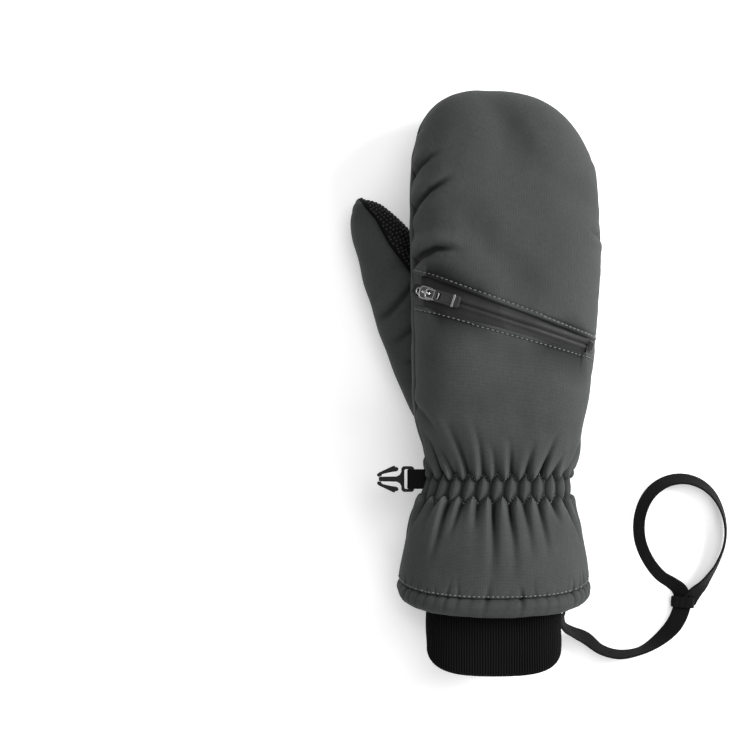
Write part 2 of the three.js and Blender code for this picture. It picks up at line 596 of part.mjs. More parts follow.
// The clip's frame: a slotted end on the webbing and a middle stem with an arrow tip.
const CLIP = { thick: 3.2, halfWide: 6.7, stem: 1.25, bar: 1.1, barb: 1.6 };
function clipFrame() {
  const { thick, halfWide, stem, bar } = CLIP;
  const z = [CLIP_Z - thick / 2, CLIP_Z + thick / 2];
  const [backX, frontX] = [CLIP_BAR_X + bar, CLIP_BAR_X - 5.4];
  const frame = box(frontX, backX - 0.2, CLIP_Y - halfWide, CLIP_Y + halfWide, ...z);
  const slot = box(frontX + 1.7, backX + 5, CLIP_Y - 5.3, CLIP_Y + 5.3, CLIP_Z - 9, CLIP_Z + 9);
  const round = new THREE.CylinderGeometry(bar, bar, 2 * halfWide - 0.4, 10);
  const pin = solidOf(round.translate(CLIP_BAR_X, CLIP_Y, CLIP_Z));
  const shaft = box(CLIP_TIP_X, frontX + 0.5, CLIP_Y - stem, CLIP_Y + stem, ...z);
  const tip = prism(
    [[CLIP_TIP_X - 1.2, -0.9], [CLIP_TIP_X + 0.9, -1.5], [CLIP_TIP_X + 0.9, 1.5], [CLIP_TIP_X - 1.2, 0.9]]
      .map(([x, y]) => [x, CLIP_Y + y]),
    ...z,
  );
  return join([frame.subtract(slot), pin, shaft, tip]);
}

// A barb springs back from the tip; side is +1 for the one nearer the finger tips.
function clipBarb(side) {
  const { thick, barb } = CLIP;
  const root = [CLIP_TIP_X + 1.3, 1.9];
  const end = [-57.2, 5.0];
  const outline = [
    root,
    [CLIP_TIP_X - 0.4, 2.3],
    [CLIP_TIP_X + 0.6, 3.3],
    [end[0] - 2.6, end[1] + barb],
    [end[0] + 0.6, end[1] + barb],
    [end[0] + 0.6, end[1] + 0.2],
    [end[0] - 2.6, end[1] - 0.4],
    [CLIP_TIP_X + 4, 2.6],
  ].map(([x, y]) => [x, CLIP_Y + side * y]);
  return prism(side > 0 ? outline.reverse() : outline, CLIP_Z - thick / 2 + 0.2, CLIP_Z + thick / 2 - 0.2);
}

// ---- The leash ----

// The leash's route as it lies: out from under the hem, along the surface, through its own eye, and round.
const LEASH_ROUTE = [
  [31.2, -168.4, 18.2],
  [31.6, -171.4, 17.2],
  [34.0, -176.0, 12.8],
  [38.6, -179.2, 9.0],
  [46.0, -183.0, 5.2],
  [54.0, -189.0, 4.0],
  [64.0, -191.6, 4.0],
  [75.3, -189.6, 4.0],
  [84.5, -184.4, 4.0],
  [92.6, -177.0, 5.0],
  [97.0, -169.5, 6.2],
  [98.6, -162.5, 6.4],
  [96.8, -156.6, 5.8],
  [92.4, -152.8, 5.0],
  [86.0, -148.6, 4.2],
  [79.6, -140.4, 4.0],
  [75.4, -130.4, 4.0],
  [74.6, -120.0, 4.0],
  [76.9, -110.6, 4.0],
  [81.8, -103.0, 4.0],
  [89.4, -97.8, 4.0],
  [98.4, -96.2, 4.0],
  [107.4, -98.6, 4.0],
  [114.8, -104.6, 4.0],
  [119.6, -113.4, 4.0],
  [121.6, -123.4, 4.0],
  [120.6, -133.0, 4.0],
  [116.8, -142.6, 4.4],
  [112.4, -149.6, 5.0],
  [109.2, -154.0, 5.6],
];
const leashCurve = new THREE.CatmullRomCurve3(LEASH_ROUTE.map((p) => new THREE.Vector3(...p)), false);

function leashStrap() {
  const section = new THREE.Shape().absarc(0, 0, LEASH_RADIUS, 0, 2 * Math.PI);
  const tube = new THREE.ExtrudeGeometry(section, {
    steps: 44,
    curveSegments: 4,
    extrudePath: leashCurve,
    bevelEnabled: false,
  });
  return solidOf(tube);
}

// The sewn eye at the strap's end, which runs on the strap: a sleeve, and the tail that joins the loop's end.
function leashEye() {
  const { wall, room, long } = LEASH_EYE;
  const inner = LEASH_RADIUS + room;
  const outer = inner + wall;
  const profile = [[inner, -long / 2], [outer, -long / 2], [outer, long / 2], [inner, long / 2]];
  const sleeve = new THREE.LatheGeometry([...profile, profile[0]].map((p) => new THREE.Vector2(...p)), 12);
  sleeve.rotateZ(THREE.MathUtils.degToRad(LEASH_EYE.turn)).translate(...LEASH_EYE.at);
  const tail = new THREE.BoxGeometry(...LEASH_TAIL.size);
  tail.rotateZ(THREE.MathUtils.degToRad(LEASH_TAIL.turn)).translate(...LEASH_TAIL.at);
  const strapRoom = solidOf(new THREE.CylinderGeometry(inner, inner, 20, 12).translate(98.6, -162.5, 6.3));
  return solidOf(tail).subtract(strapRoom).add(solidOf(sleeve));
}

// The tab that holds the leash, sewn inside the hem.
const leashAnchor = () => box(...LEASH_ANCHOR.x, ...LEASH_ANCHOR.y, ...LEASH_ANCHOR.z);

// ---- The assembly ----

const mitten = new THREE.Group();
const shapes = [
  ["back_panel_upper", backPanelUpper(), GREY_CLOTH],
  ["back_panel_lower", backPanelLowerWhole(), GREY_CLOTH],
  ["side_strip_thumb", sideStrip(true), GREY_CLOTH],
  ["side_strip_little", sideStrip(false), GREY_CLOTH],
  ["fingertip_grip_patch", fingertipGripPatch(), GRIP_CLOTH],
  ["palm_mid_panel", palmMidPanel(), GREY_CLOTH],
  ["palm_grip_patch", palmGripPatch(), GRIP_CLOTH],
  ["palm_heel_panel", palmHeelPanel(), GREY_CLOTH],
  ["hem_roll", hemRoll(), GREY_CLOTH],
  ["knit_cuff", knitCuff(), KNIT],
  ["wrist_elastic", wristElastic(), KNIT],
  ["insulation_hand", innerLayer(PADDING), WADDING],
  ["membrane_insert", innerLayer(MEMBRANE), FILM],
  ["fleece_lining", fleeceLining(), FLEECE],
  ["thumb_back_panel", thumbPanel(false), GREY_CLOTH],
  ["thumb_grip_panel", thumbPanel(true), GRIP_CLOTH],
  ["insulation_thumb", thumbLayer(THUMB_PADDING), WADDING],
  ["thumb_lining", thumbLayer(THUMB_LINING), FLEECE],
  ["zip_tape_upper", zipTape(1), TAPE_CLOTH],
  ["zip_tape_lower", zipTape(-1), TAPE_CLOTH],
  ["zip_coil_upper", zipCoil(1), PLASTIC],
  ["zip_coil_lower", zipCoil(-1), PLASTIC],
  ["zip_stop_start", zipStop(STOP.at[0]), METAL],
  ["zip_stop_end", zipStop(STOP.at[1]), METAL],
  ["zip_slider", zipSlider(), METAL],
  ["zip_pull_loop", zipPullLoop(), METAL],
  ["zip_pull_tab", zipPullTab(), PLASTIC],
  ["zip_pull_clip", zipPullClip(), METAL],
  ["pocket_bag", pocketBag(), FLEECE],
  ["clip_webbing", clipWebbing(), WEBBING],
  ["clip_frame", clipFrame(), PLASTIC],
  ["clip_barb_upper", clipBarb(1), PLASTIC],
  ["clip_barb_lower", clipBarb(-1), PLASTIC],
  ["leash_anchor", leashAnchor(), WEBBING],
  ["leash_strap", leashStrap(), WEBBING],
  ["leash_eye", leashEye(), WEBBING],
];
for (const [name, solid, look] of shapes) {
  const placed = largest(solid).translate(-ORIGIN_X, 0, 0);
  const mesh = new THREE.Mesh(geometryOf(placed), new THREE.MeshStandardMaterial(look));
  mesh.name = name;
  mitten.add(mesh);
}

export default mitten;
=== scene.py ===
"""A right-hand ski mitten lying palm down: its cloth, padding, zip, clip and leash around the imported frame.

Lengths are in millimetres until a mesh is made. The hand's own middle is x = 0 there; the frame's origin lies
ORIGIN_X further towards the little finger.
"""

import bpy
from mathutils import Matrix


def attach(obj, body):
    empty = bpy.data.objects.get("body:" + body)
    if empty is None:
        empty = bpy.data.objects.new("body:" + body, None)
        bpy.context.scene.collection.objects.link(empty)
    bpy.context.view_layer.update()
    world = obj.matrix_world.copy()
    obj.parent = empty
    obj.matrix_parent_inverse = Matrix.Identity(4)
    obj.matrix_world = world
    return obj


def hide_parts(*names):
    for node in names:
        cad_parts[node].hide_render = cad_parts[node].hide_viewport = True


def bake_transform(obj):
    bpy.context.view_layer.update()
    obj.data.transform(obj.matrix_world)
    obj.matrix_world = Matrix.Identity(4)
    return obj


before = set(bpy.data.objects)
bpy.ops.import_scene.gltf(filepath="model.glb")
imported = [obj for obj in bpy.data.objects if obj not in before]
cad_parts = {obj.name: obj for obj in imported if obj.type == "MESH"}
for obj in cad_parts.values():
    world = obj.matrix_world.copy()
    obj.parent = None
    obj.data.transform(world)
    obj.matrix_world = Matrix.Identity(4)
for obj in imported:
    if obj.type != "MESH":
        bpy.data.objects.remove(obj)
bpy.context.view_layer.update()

import math

import bmesh
import bpy
import numpy as np
from mathutils import Matrix, Vector

MM = 0.001
ORIGIN_X = 9.0
rng = np.random.RandomState(7)

# ---- Camera ----

VIEW_CENTRE = (-77.9, -39.8)
FRAME_WIDTH = 397.5  # what the view takes in at the height of the side seam
SEAM_HEIGHT = 30.0
LENS = 90.0
SENSOR = 36.0

camera_data = bpy.data.cameras.new("camera")
camera_data.lens = LENS
camera_data.sensor_width = SENSOR
camera = bpy.data.objects.new("camera", camera_data)
camera.location = (
    VIEW_CENTRE[0] * MM,
    VIEW_CENTRE[1] * MM,
    (SEAM_HEIGHT + FRAME_WIDTH * LENS / SENSOR) * MM,
)
bpy.context.scene.collection.objects.link(camera)
bpy.context.scene.camera = camera

# ---- The hand's shape, as the CAD has it ----

# y, thumb-side edge, little-finger edge, seam height, rise, depth, tilt, lift
SECTIONS = np.array([
    [-158, -56.0, 44.0, 30.0, 31.0, 31.5, 0, 0],
    [-150, -56.2, 44.0, 30.0, 31.0, 31.5, 0, 0],
    [-136, -54.8, 42.8, 29.5, 30.0, 30.5, 0, 0],
    [-120, -51.0, 40.0, 28.5, 27.0, 28.0, 0, 0],
    [-107, -46.2, 35.6, 27.5, 23.5, 24.0, 0, 0],
    [-99, -42.2, 34.8, 27.0, 22.0, 22.0, 0, 0],
    [-90, -41.4, 35.2, 27.0, 22.5, 23.0, 0, 0],
    [-76, -44.2, 39.4, 27.5, 25.5, 26.0, 3, 8],
    [-62, -48.4, 42.4, 28.0, 28.5, 30.5, 7, 20],
    [-40, -49.5, 46.2, 28.0, 32.0, 31.5, 9, 24],
    [-10, -49.8, 49.0, 28.0, 32.0, 31.5, 9, 24],
    [20, -50.4, 50.9, 28.0, 31.5, 31.5, 9, 24],
    [50, -50.7, 50.0, 27.0, 29.0, 30.5, 9, 23],
    [80, -50.0, 49.5, 26.5, 28.5, 28.0, 6, 10],
    [112, -50.0, 49.5, 25.0, 28.0, 27.0, 3, 0],
])
TIP_Y = 111.3
DOME_Y = 50.0
DOME_POWER = 2.5
DOME_LEAN = 8.5
FULLNESS = 2.4
HEM_BULGE = 9.0
HEM_Y = -146.0
TILT_SPAN = (-0.9, 0.3)
LIFT_SPAN = (-0.45, 0.05)
STRIP_END_Y = -86.0
DOME_MIDDLE = np.array([-6.0, 62.0, 28.0])
DOME_RUN = 80.0  # the row measure grows by this much over the dome
FLOOR_CLEAR = 0.4

ZIP_ANGLE = math.radians(-17.6)
ZIP_Y = -10.9
ZIP_RADIUS = 95.6
ZIP_CENTRE = (-9.7, -34.9)
SLIDER_AT = -44.5

THUMB_ROOT = (-40.0, -53.0)
THUMB_LEAN = math.radians(18)
THUMB_SWING = (-10, -5, 0, 5, 10, 15, 20)
# along, outer edge, inner edge, low, high
THUMB = np.array([
    [-32, 3, 11, 5.0, 20.0],
    [-27, -3, 18, 2.5, 24.0],
    [-16, -8, 26, 0.6, 27.0],
    [0, -11.5, 31, 0.0, 28.0],
    [20, -13.3, 32, 0.0, 28.0],
    [45, -14.4, 30, 0.0, 28.0],
    [68, -14.0, 25.5, 0.2, 28.0],
    [86, -12.8, 19.5, 0.6, 27.5],
    [97, -11.8, 14.8, 1.2, 26.5],
    [105, -10.4, 9.6, 2.4, 25.0],
    [110, -7.8, 5.0, 4.4, 22.6],
    [113, -5.0, 0.6, 7.5, 19.0],
])
THUMB_SEAM = [(-45, 26), (-25, 24), (30, 18), (67, 11.5), (86, 5), (100, 2.6), (113, -2.4), (125, -6)]

# Lines across the hand, x then y
ZIP_UPPER_EDGE = [(-140, 45.9), (-45.6, 11.7), (46.6, -21.7), (140, -55.5)]
ZIP_LOWER_EDGE = [(-140, 21.6), (-47.7, -3.7), (47.2, -29.7), (140, -55.1)]
FINGER_PATCH_EDGE = [(-140, 31), (-45.5, 31), (-24, 46.5), (0, 52), (24, 47.5), (47, 33), (140, 33)]
PALM_PATCH_TOP = [(-140, 10), (-30, 10), (13, 6), (49, -6.9), (140, -6.9)]
PALM_PATCH_FOOT = [(-140, -68), (-6, -68), (10, -68), (43, -58.8), (140, -56)]

CUFF = {"x": -6.1, "half_width": 35.8, "z": 29.5, "half_height": 18.5, "wall": 3.2, "end_curve": 11.0}
CUFF_Y = (-186.0, -141.5)

CLIP_Y, CLIP_Z = -95.1, 27.0
CLIP_BAR_X, CLIP_TIP_X = -49.3, -67.3

# The leash's route: x, y, z, and how far the flat webbing is rolled onto its edge, in degrees
LEASH_ROUTE = np.array([
    [31.2, -168.4, 18.2, 62],
    [31.6, -171.4, 17.2, 66],
    [34.0, -176.0, 12.8, 70],
    [38.6, -179.2, 9.0, 62],
    [46.0, -183.0, 5.2, 50],
    [54.0, -189.0, 4.0, 62],
    [64.0, -191.6, 4.0, 68],
    [75.3, -189.6, 4.0, 75],
    [84.5, -184.4, 4.0, 58],
    [92.6, -177.0, 5.0, 32],
    [97.0, -169.5, 6.2, 20],
    [98.6, -162.5, 6.4, 16],
    [96.8, -156.6, 5.8, 34],
    [92.4, -152.8, 5.0, 46],
    [86.0, -148.6, 4.2, 52],
    [79.6, -140.4, 4.0, 56],
    [75.4, -130.4, 4.0, 58],
    [74.6, -120.0, 4.0, 59],
    [76.9, -110.6, 4.0, 58],
    [81.8, -103.0, 4.0, 57],
    [89.4, -97.8, 4.0, 57],
    [98.4, -96.2, 4.0, 58],
    [107.4, -98.6, 4.0, 60],
    [114.8, -104.6, 4.0, 66],
    [119.6, -113.4, 4.0, 73],
    [121.6, -123.4, 4.0, 77],
    [120.6, -133.0, 4.0, 76],
    [116.8, -142.6, 4.4, 72],
    [112.4, -149.6, 5.0, 62],
    [109.2, -154.0, 5.6, 50],
    [106.0, -157.2, 6.4, 38],
    [103.6, -160.2, 7.0, 26],
    [101.6, -163.2, 7.6, 14],
])
LEASH_WIDTH, LEASH_THICK = 9.4, 1.2
MIDDLE = np.array([-2.0, 0.0, 30.0])
DOME_END = DOME_Y + DOME_RUN
THUMB_START, THUMB_TIP = THUMB[0, 0], THUMB[-1, 0]
ALL_EDGES = ("low", "high", "left", "right")

# ---- Small mathematics ----


def unit(vectors):
    return vectors / np.maximum(np.linalg.norm(vectors, axis=-1, keepdims=True), 1e-6)


def bell(x, width, middle=0.0):
    return np.exp(-(((x - middle) / width) ** 2))


def wrapped(q, count):
    """A place on a ring of count steps, brought to between -count / 2 and count / 2."""
    return np.mod(q + count / 2, count) - count / 2


def running_length(path, power=1.0):
    return np.concatenate([[0], np.cumsum(np.linalg.norm(np.diff(path, axis=0), axis=1) ** power)])


def read_along(measure, rows, at):
    return np.stack([np.interp(at, measure, rows[:, k]) for k in range(rows.shape[1])], -1)


def read_rows(rows, at):
    """A smooth curve through the rows of a table, read at each place of its first column."""
    keys = rows[:, 0]
    at = np.asarray(at, float)
    k = np.clip(np.searchsorted(keys, at, side="right") - 1, 0, len(keys) - 2)
    step = keys[k + 1] - keys[k]
    t = np.clip((at - keys[k]) / step, 0, 1)[..., None]
    index = np.arange(len(keys))
    low, high = np.maximum(index - 1, 0), np.minimum(index + 1, len(keys) - 1)
    slope = (rows[high] - rows[low]) / (keys[high] - keys[low])[:, None]
    rise = (t**3 - 2 * t**2 + t) * slope[k] + (t**3 - t**2) * slope[k + 1]
    return (2 * t**3 - 3 * t**2 + 1) * rows[k] + (3 * t**2 - 2 * t**3) * rows[k + 1] + step[..., None] * rise


def span(row, column=1):
    """The middle of a row's pair of edges, and half the width between them."""
    low, high = row[..., column], row[..., column + 1]
    return (low + high) / 2, (high - low) / 2


def swell(value, power=FULLNESS):
    return np.sign(value) * np.abs(value) ** (2 / power)


def other_axis(n, power=FULLNESS):
    return np.maximum(0, 1 - np.abs(n) ** power) ** (1 / power)


def ramp(x, start, end):
    t = np.clip((np.asarray(x, float) - start) / (end - start), 0, 1)
    return t * t * (3 - 2 * t)


def line_at(line, x):
    return np.interp(x, [p[0] for p in line], [p[1] for p in line])


def soft_floor(z, floor=FLOOR_CLEAR, blend=0.7):
    return floor + blend * np.logaddexp(0, (z - floor) / blend)


def ripple(x, y, wavelength, seed):
    """Smooth irregular waves, between about -1 and 1."""
    local = np.random.RandomState(seed)
    total = np.zeros(np.broadcast(x, y).shape)
    for _ in range(6):
        angle, phase = local.uniform(0, 2 * math.pi, 2)
        pace = 2 * math.pi / (wavelength * local.uniform(0.7, 1.5))
        total = total + np.sin(pace * (np.cos(angle) * x + np.sin(angle) * y) + phase)
    return total / 6 ** 0.5 / 1.4


# ---- Surfaces ----


def dome_share(rho):
    v = np.clip((rho - DOME_Y) / DOME_RUN, 0, 1)
    return np.sin(math.pi / 2 * v ** 1.25) ** 0.8


def rho_of(y, inset=0.0):
    """The row measure at y: y itself below the dome."""
    t = np.clip((y - DOME_Y) / (TIP_Y - inset - DOME_Y), 0, 1)
    v = (np.arcsin(t ** 1.25) * 2 / math.pi) ** 0.8
    return np.where(y > DOME_Y, DOME_Y + DOME_RUN * v, y)


def round_at(t):
    return np.maximum(0, 1 - t ** DOME_POWER) ** (1 / DOME_POWER)


def thumb_axes(x, y, swing=0.0):
    """A place of the hand, along and across the thumb when it is swung."""
    dx, dy = x - THUMB_ROOT[0], y - THUMB_ROOT[1]
    turn = THUMB_LEAN + math.radians(swing)
    return -math.sin(turn) * dx + math.cos(turn) * dy, math.cos(turn) * dx + math.sin(turn) * dy


def from_thumb(along, across):
    """The place of the hand, in plan, at a place of the thumb at rest."""
    sin, cos = math.sin(THUMB_LEAN), math.cos(THUMB_LEAN)
    return THUMB_ROOT[0] - sin * along + cos * across, THUMB_ROOT[1] + cos * along + sin * across


def swung_thumbs(x, y):
    """For each place the thumb swings to: where x, y lie on it, and its table's row there."""
    for swing in THUMB_SWING:
        along, across = thumb_axes(x, y, swing)
        yield along, across, read_rows(THUMB, np.clip(along, THUMB_START, THUMB_TIP))


def thumb_room(x, y):
    """How high the hand's underside stays over the thumb as it swings."""
    top = np.full(np.broadcast(x, y).shape, -50.0)
    for along, across, row in swung_thumbs(x, y):
        middle, half = span(row)
        n = np.clip((across - middle) / (half + 1.6), -1, 1)
        level, rise = span(row, 3)
        inside = (np.abs(n) < 1) & (along > THUMB_START - 1.5) & (along < THUMB_TIP + 1.5)
        top = np.where(inside, np.maximum(top, level + (rise + 1.3) * other_axis(n)), top)
    return top


def thumb_gap(x, y):
    """How far outside the swinging thumb's outline a place lies, in plan."""
    gap = np.full(np.broadcast(x, y).shape, 1e3)
    for along, across, row in swung_thumbs(x, y):
        middle, half = span(row)
        past_ends = np.maximum(THUMB_START - along, along - THUMB_TIP)
        gap = np.minimum(gap, np.maximum(np.abs(across - middle) - half, past_ends))
    return gap


def height_at(x, y, under):
    """The hand's surface over a place in plan: its height, and how full the section is there."""
    t = np.clip((y - DOME_Y) / (TIP_Y - DOME_Y), 0, 1)
    row = read_rows(SECTIONS, y)
    middle, half = span(row)
    full = np.maximum(half * round_at(t), 1e-6)
    n = np.clip((x - middle + DOME_LEAN * t * t) / full, -1, 1)
    up = other_axis(n)
    height = np.where(under, -(row[..., 5] - row[..., 7] * (1 - ramp(n, *LIFT_SPAN))), row[..., 4])
    z = soft_floor(row[..., 3] + row[..., 6] * (1 - ramp(n, *TILT_SPAN)) + height * round_at(t) * up)
    return np.where(under, np.maximum(z, thumb_room(x, y)), z), up


def skin(rho, angle, inset=0.0, under=None):
    """A point of the hand's surface, seen in plan inset from its outline. under picks the palm side."""
    rho, angle, inset = np.broadcast_arrays(np.asarray(rho, float), angle, inset)
    if under is None:
        under = np.sin(angle) < -1e-9
    t = dome_share(rho)
    middle, half = span(read_rows(SECTIONS, np.where(rho > DOME_Y, DOME_Y + t * (TIP_Y - DOME_Y), rho)))
    x = middle - DOME_LEAN * t * t + (half - inset) * round_at(t) * swell(np.cos(angle))
    y = np.where(rho > DOME_Y, DOME_Y + t * (TIP_Y - inset - DOME_Y), rho)
    z, up = height_at(x, y, under)
    bulge = HEM_BULGE * (1 - ramp(y, HEM_Y - 4, -104)) * up
    return np.stack([x, y - bulge, z], -1)


def normals_of(grid):
    """Outward or inward normals of a grid of points."""
    normal = np.cross(np.gradient(grid, axis=0), np.gradient(grid, axis=1))
    length = np.linalg.norm(normal, axis=-1, keepdims=True)
    flat = np.where(length > 1e-9, normal / np.maximum(length, 1e-9), 0)
    missing = length[..., 0] <= 1e-9
    if missing.any():
        flat[missing] = unit(flat[~missing].mean(0))
    return flat


def steps(grid, axis):
    """Cumulative length along an axis of a grid."""
    gaps = np.linalg.norm(np.diff(grid, axis=axis), axis=-1)
    start = np.zeros_like(np.take(gaps, [0], axis=axis))
    return np.concatenate([start, np.cumsum(gaps, axis=axis)], axis=axis)


def edge_distance(grid, sides):
    """How far each point of a panel's grid is from the sewn edges named in sides."""
    across, along = steps(grid, 1), steps(grid, 0)
    choices = {
        "low": along,
        "high": along[-1:] - along,
        "left": across,
        "right": across[:, -1:] - across,
    }
    return np.minimum.reduce([choices[side] for side in sides])


def groove(distance, depth=1.3, width=1.1):
    return -depth * np.exp(-distance / width)


# ---- Meshes ----

CLOTH_FLOOR = 0.15  # the least height of a panel's face


def to_object(name, points, faces, uv=None, relief=None, smooth_angle=50):
    points = np.asarray(points, float).reshape(-1, 3) - [ORIGIN_X, 0, 0]
    mesh = bpy.data.meshes.new(name)
    mesh.from_pydata((points * MM).tolist(), [], faces)
    # The relief attribute is what the cloth and knit materials paint shade by.
    if relief is not None:
        layer = mesh.attributes.new("relief", "FLOAT", "POINT")
        layer.data.foreach_set("value", np.asarray(relief, np.float32).ravel())
    if uv is not None:
        corners = np.empty(len(mesh.loops), np.int64)
        mesh.loops.foreach_get("vertex_index", corners)
        layer = mesh.uv_layers.new(name="cloth")
        layer.data.foreach_set("uv", (np.asarray(uv, float).reshape(-1, 2)[corners] * MM).ravel())
    edit = bmesh.new()
    edit.from_mesh(mesh)
    bmesh.ops.remove_doubles(edit, verts=edit.verts, dist=1e-6)
    bmesh.ops.dissolve_degenerate(edit, edges=edit.edges, dist=1e-7)
    return from_edit(name, edit, mesh, smooth_angle)


def from_edit(name, edit, mesh, smooth_angle, place=None):
    """Finishes an edited mesh: outward faces, smooth with sharp edges, in the scene."""
    bmesh.ops.recalc_face_normals(edit, faces=edit.faces)
    for face in edit.faces:
        face.smooth = True
    edit.to_mesh(mesh)
    edit.free()
    if place is not None:
        mesh.transform(place)
    mesh.set_sharp_from_angle(angle=math.radians(smooth_angle))
    piece = bpy.data.objects.new(name, mesh)
    bpy.context.scene.collection.objects.link(piece)
    return piece


def grid_faces(rows, columns, wrap_rows=False, wrap_columns=False, start=0, flip=False):
    i = np.arange(rows if wrap_rows else rows - 1)[:, None]
    j = np.arange(columns if wrap_columns else columns - 1)[None, :]
    i2, j2 = (i + 1) % rows, (j + 1) % columns
    corners = [i * columns + j, i * columns + j2, i2 * columns + j2, i2 * columns + j]
    quads = np.stack(np.broadcast_arrays(*corners), -1).reshape(-1, 4) + start
    return (quads[:, ::-1] if flip else quads).tolist()


def stack_faces(rings, sides, start=0):
    """Faces of rings stacked one on another, with both ends closed."""
    index = np.arange(start, start + rings * sides)
    ends = [index[:sides][::-1].tolist(), index[-sides:].tolist()]
    return grid_faces(rings, sides, wrap_columns=True, start=start) + ends


def ring_points(centre, side, up, radius, sides=6):
    turn = 2 * math.pi * np.arange(sides)[:, None] / sides
    return centre + (side * np.cos(turn) + up * np.sin(turn)) * radius


def panel(name, grid, relief, thick=1.3, middle=MIDDLE):
    """A cloth panel: a grid of points raised by its relief, closed behind at an even thickness."""
    rows, columns = relief.shape
    normal = normals_of(grid)
    normal *= np.sign(np.sum(normal * (grid - middle)))
    inward = np.sum(normal * (grid - DOME_MIDDLE), axis=-1) < 0
    normal[(grid[..., 1] > DOME_Y + 30) & inward] *= -1
    for row, beside in ((0, 1), (-1, -2)):
        if np.ptp(grid[row], axis=0).max() < 1.0:
            normal[row] = unit(normal[beside].mean(0))
    face = grid + normal * relief[..., None]
    face[..., 2] = np.maximum(face[..., 2], CLOTH_FLOOR)
    back = grid + normal * (relief[..., None] - thick)
    back[..., 2] = np.maximum(back[..., 2], CLOTH_FLOOR + 0.5 * thick)
    across = steps(grid, 1)
    uv = np.stack([across - across[:, columns // 2][:, None], steps(grid, 0)], -1)
    count = rows * columns
    faces = grid_faces(rows, columns) + grid_faces(rows, columns, start=count, flip=True)
    index = np.arange(count).reshape(rows, columns)
    for rim in (index[0], index[-1], index[:, 0], index[:, -1]):
        faces += np.stack([rim[:-1], rim[1:], rim[1:] + count, rim[:-1] + count], -1).tolist()
    # Painted shade: the face carries its relief, and the back a fixed -1 that paints the inner side darker.
    shade = np.concatenate([relief.ravel(), np.full(count, -1.0)])
    return to_object(name, [face, back], faces, [uv, uv], shade), face, normal


# ---- Materials ----


class Nodes:
    """A short way to write a material's nodes."""

    def __init__(self, name):
        self.material = bpy.data.materials.new(name)
        self.material.use_nodes = True
        self.tree = self.material.node_tree
        self.shader = self.tree.nodes["Principled BSDF"]

    def add(self, kind, inputs=None, **settings):
        node = self.tree.nodes.new(kind)
        for key, value in settings.items():
            setattr(node, key, value)
        for key, value in (inputs or {}).items():
            if isinstance(value, bpy.types.NodeSocket):
                self.tree.links.new(value, node.inputs[key])
            else:
                node.inputs[key].default_value = value
        return node

    def math(self, operation, a, b=0.0):
        return self.add("ShaderNodeMath", {0: a, 1: b}, operation=operation).outputs[0]

    def sum(self, *terms):
        """The sum of values, each taken by its weight."""
        parts = [value if weight == 1 else self.math("MULTIPLY", value, weight) for value, weight in terms]
        total = parts[0]
        for part in parts[1:]:
            total = self.math("ADD", total, part)
        return total

    def place(self, by_uv=True):
        if by_uv:
            return self.add("ShaderNodeUVMap", uv_map="cloth").outputs["UV"]
        return self.add("ShaderNodeTexCoord").outputs["Object"]

    def bands(self, place, pitch, direction, distortion=0.0, detail_scale=1.0):
        inputs = {"Vector": place, "Scale": math.pi / 10 / (pitch * MM), "Distortion": distortion,
                  "Detail Scale": detail_scale}
        return self.add("ShaderNodeTexWave", inputs, wave_type="BANDS", bands_direction=direction).outputs["Fac"]

    def noise(self, place, size, detail=3.0, rough=0.55):
        inputs = {"Vector": place, "Scale": 1 / (size * MM), "Detail": detail, "Roughness": rough}
        return self.add("ShaderNodeTexNoise", inputs).outputs["Fac"]

    def fold(self):
        """How far a panel's cloth stands above or below its own grid, in millimetres; the cloth and knit materials
        paint shade by it.
        """
        return self.add("ShaderNodeAttribute", attribute_name="relief").outputs["Fac"]

    def remap(self, value, start, end, at_start, at_end):
        inputs = {"Value": value, "From Min": start, "From Max": end, "To Min": at_start, "To Max": at_end}
        return self.add("ShaderNodeMapRange", inputs).outputs[0]

    def mix(self, share, low, high):
        colours = {key: value if isinstance(value, bpy.types.NodeSocket) else (*value, 1)
                   for key, value in ((6, low), (7, high))}
        return self.add("ShaderNodeMix", {0: share, **colours}, data_type="RGBA").outputs[2]

    def finish(self, colour, roughness, height=None, bump=0.3, depth=0.1, **constants):
        links = self.tree.links
        links.new(colour, self.shader.inputs["Base Color"])
        links.new(roughness, self.shader.inputs["Roughness"])
        if height is not None:
            node = self.add("ShaderNodeBump", {"Height": height, "Strength": bump, "Distance": depth * MM})
            links.new(node.outputs[0], self.shader.inputs["Normal"])
        for key, value in constants.items():
            self.shader.inputs[key.replace("_", " ").title().replace("Ior", "IOR")].default_value = value
        return self.material


def woven(name, dark, light, pitch=0.9, folded=True, rough=0.78, sheen=0.03, gloss=0.2):
    """Plain-woven cloth: two sets of yarns, uneven dye, painted shade in its folds, and paler where its folds stand
    high.
    """
    n = Nodes(name)
    place = n.place(folded)
    warp = n.bands(place, pitch, "X", 0.6, 3)
    weft = n.bands(place, pitch * 0.8, "Y", 0.6, 3)
    cross = n.math("MAXIMUM", n.math("MULTIPLY", warp, 0.85), weft)
    slub = n.noise(place, 2.2, 4)
    cloud = n.noise(place, 26, 2)
    share = n.sum((cross, 0.6), (slub, 0.55), (cloud, 0.3))
    colour = n.mix(n.math("SUBTRACT", share, 0.25), dark, light)
    if folded:
        # Painted shade: a darker copy of the cloth where it lies low in folds and seam grooves; a paler copy where
        # it stands high.
        fold = n.fold()
        colour = n.mix(n.remap(fold, -1.7, 0.0, 0.9, 0.0), colour, [c * 0.25 for c in dark])
        colour = n.mix(n.remap(fold, 0.5, 2.6, 0.0, 0.3), colour, [c * 1.5 for c in light])
    roughness = n.sum((rough - 0.06, 1), (slub, 0.14))
    return n.finish(colour, roughness, n.sum((cross, 1), (slub, 0.5)), 0.5, 0.16, sheen_weight=sheen,
                    sheen_roughness=0.45, specular_ior_level=gloss)


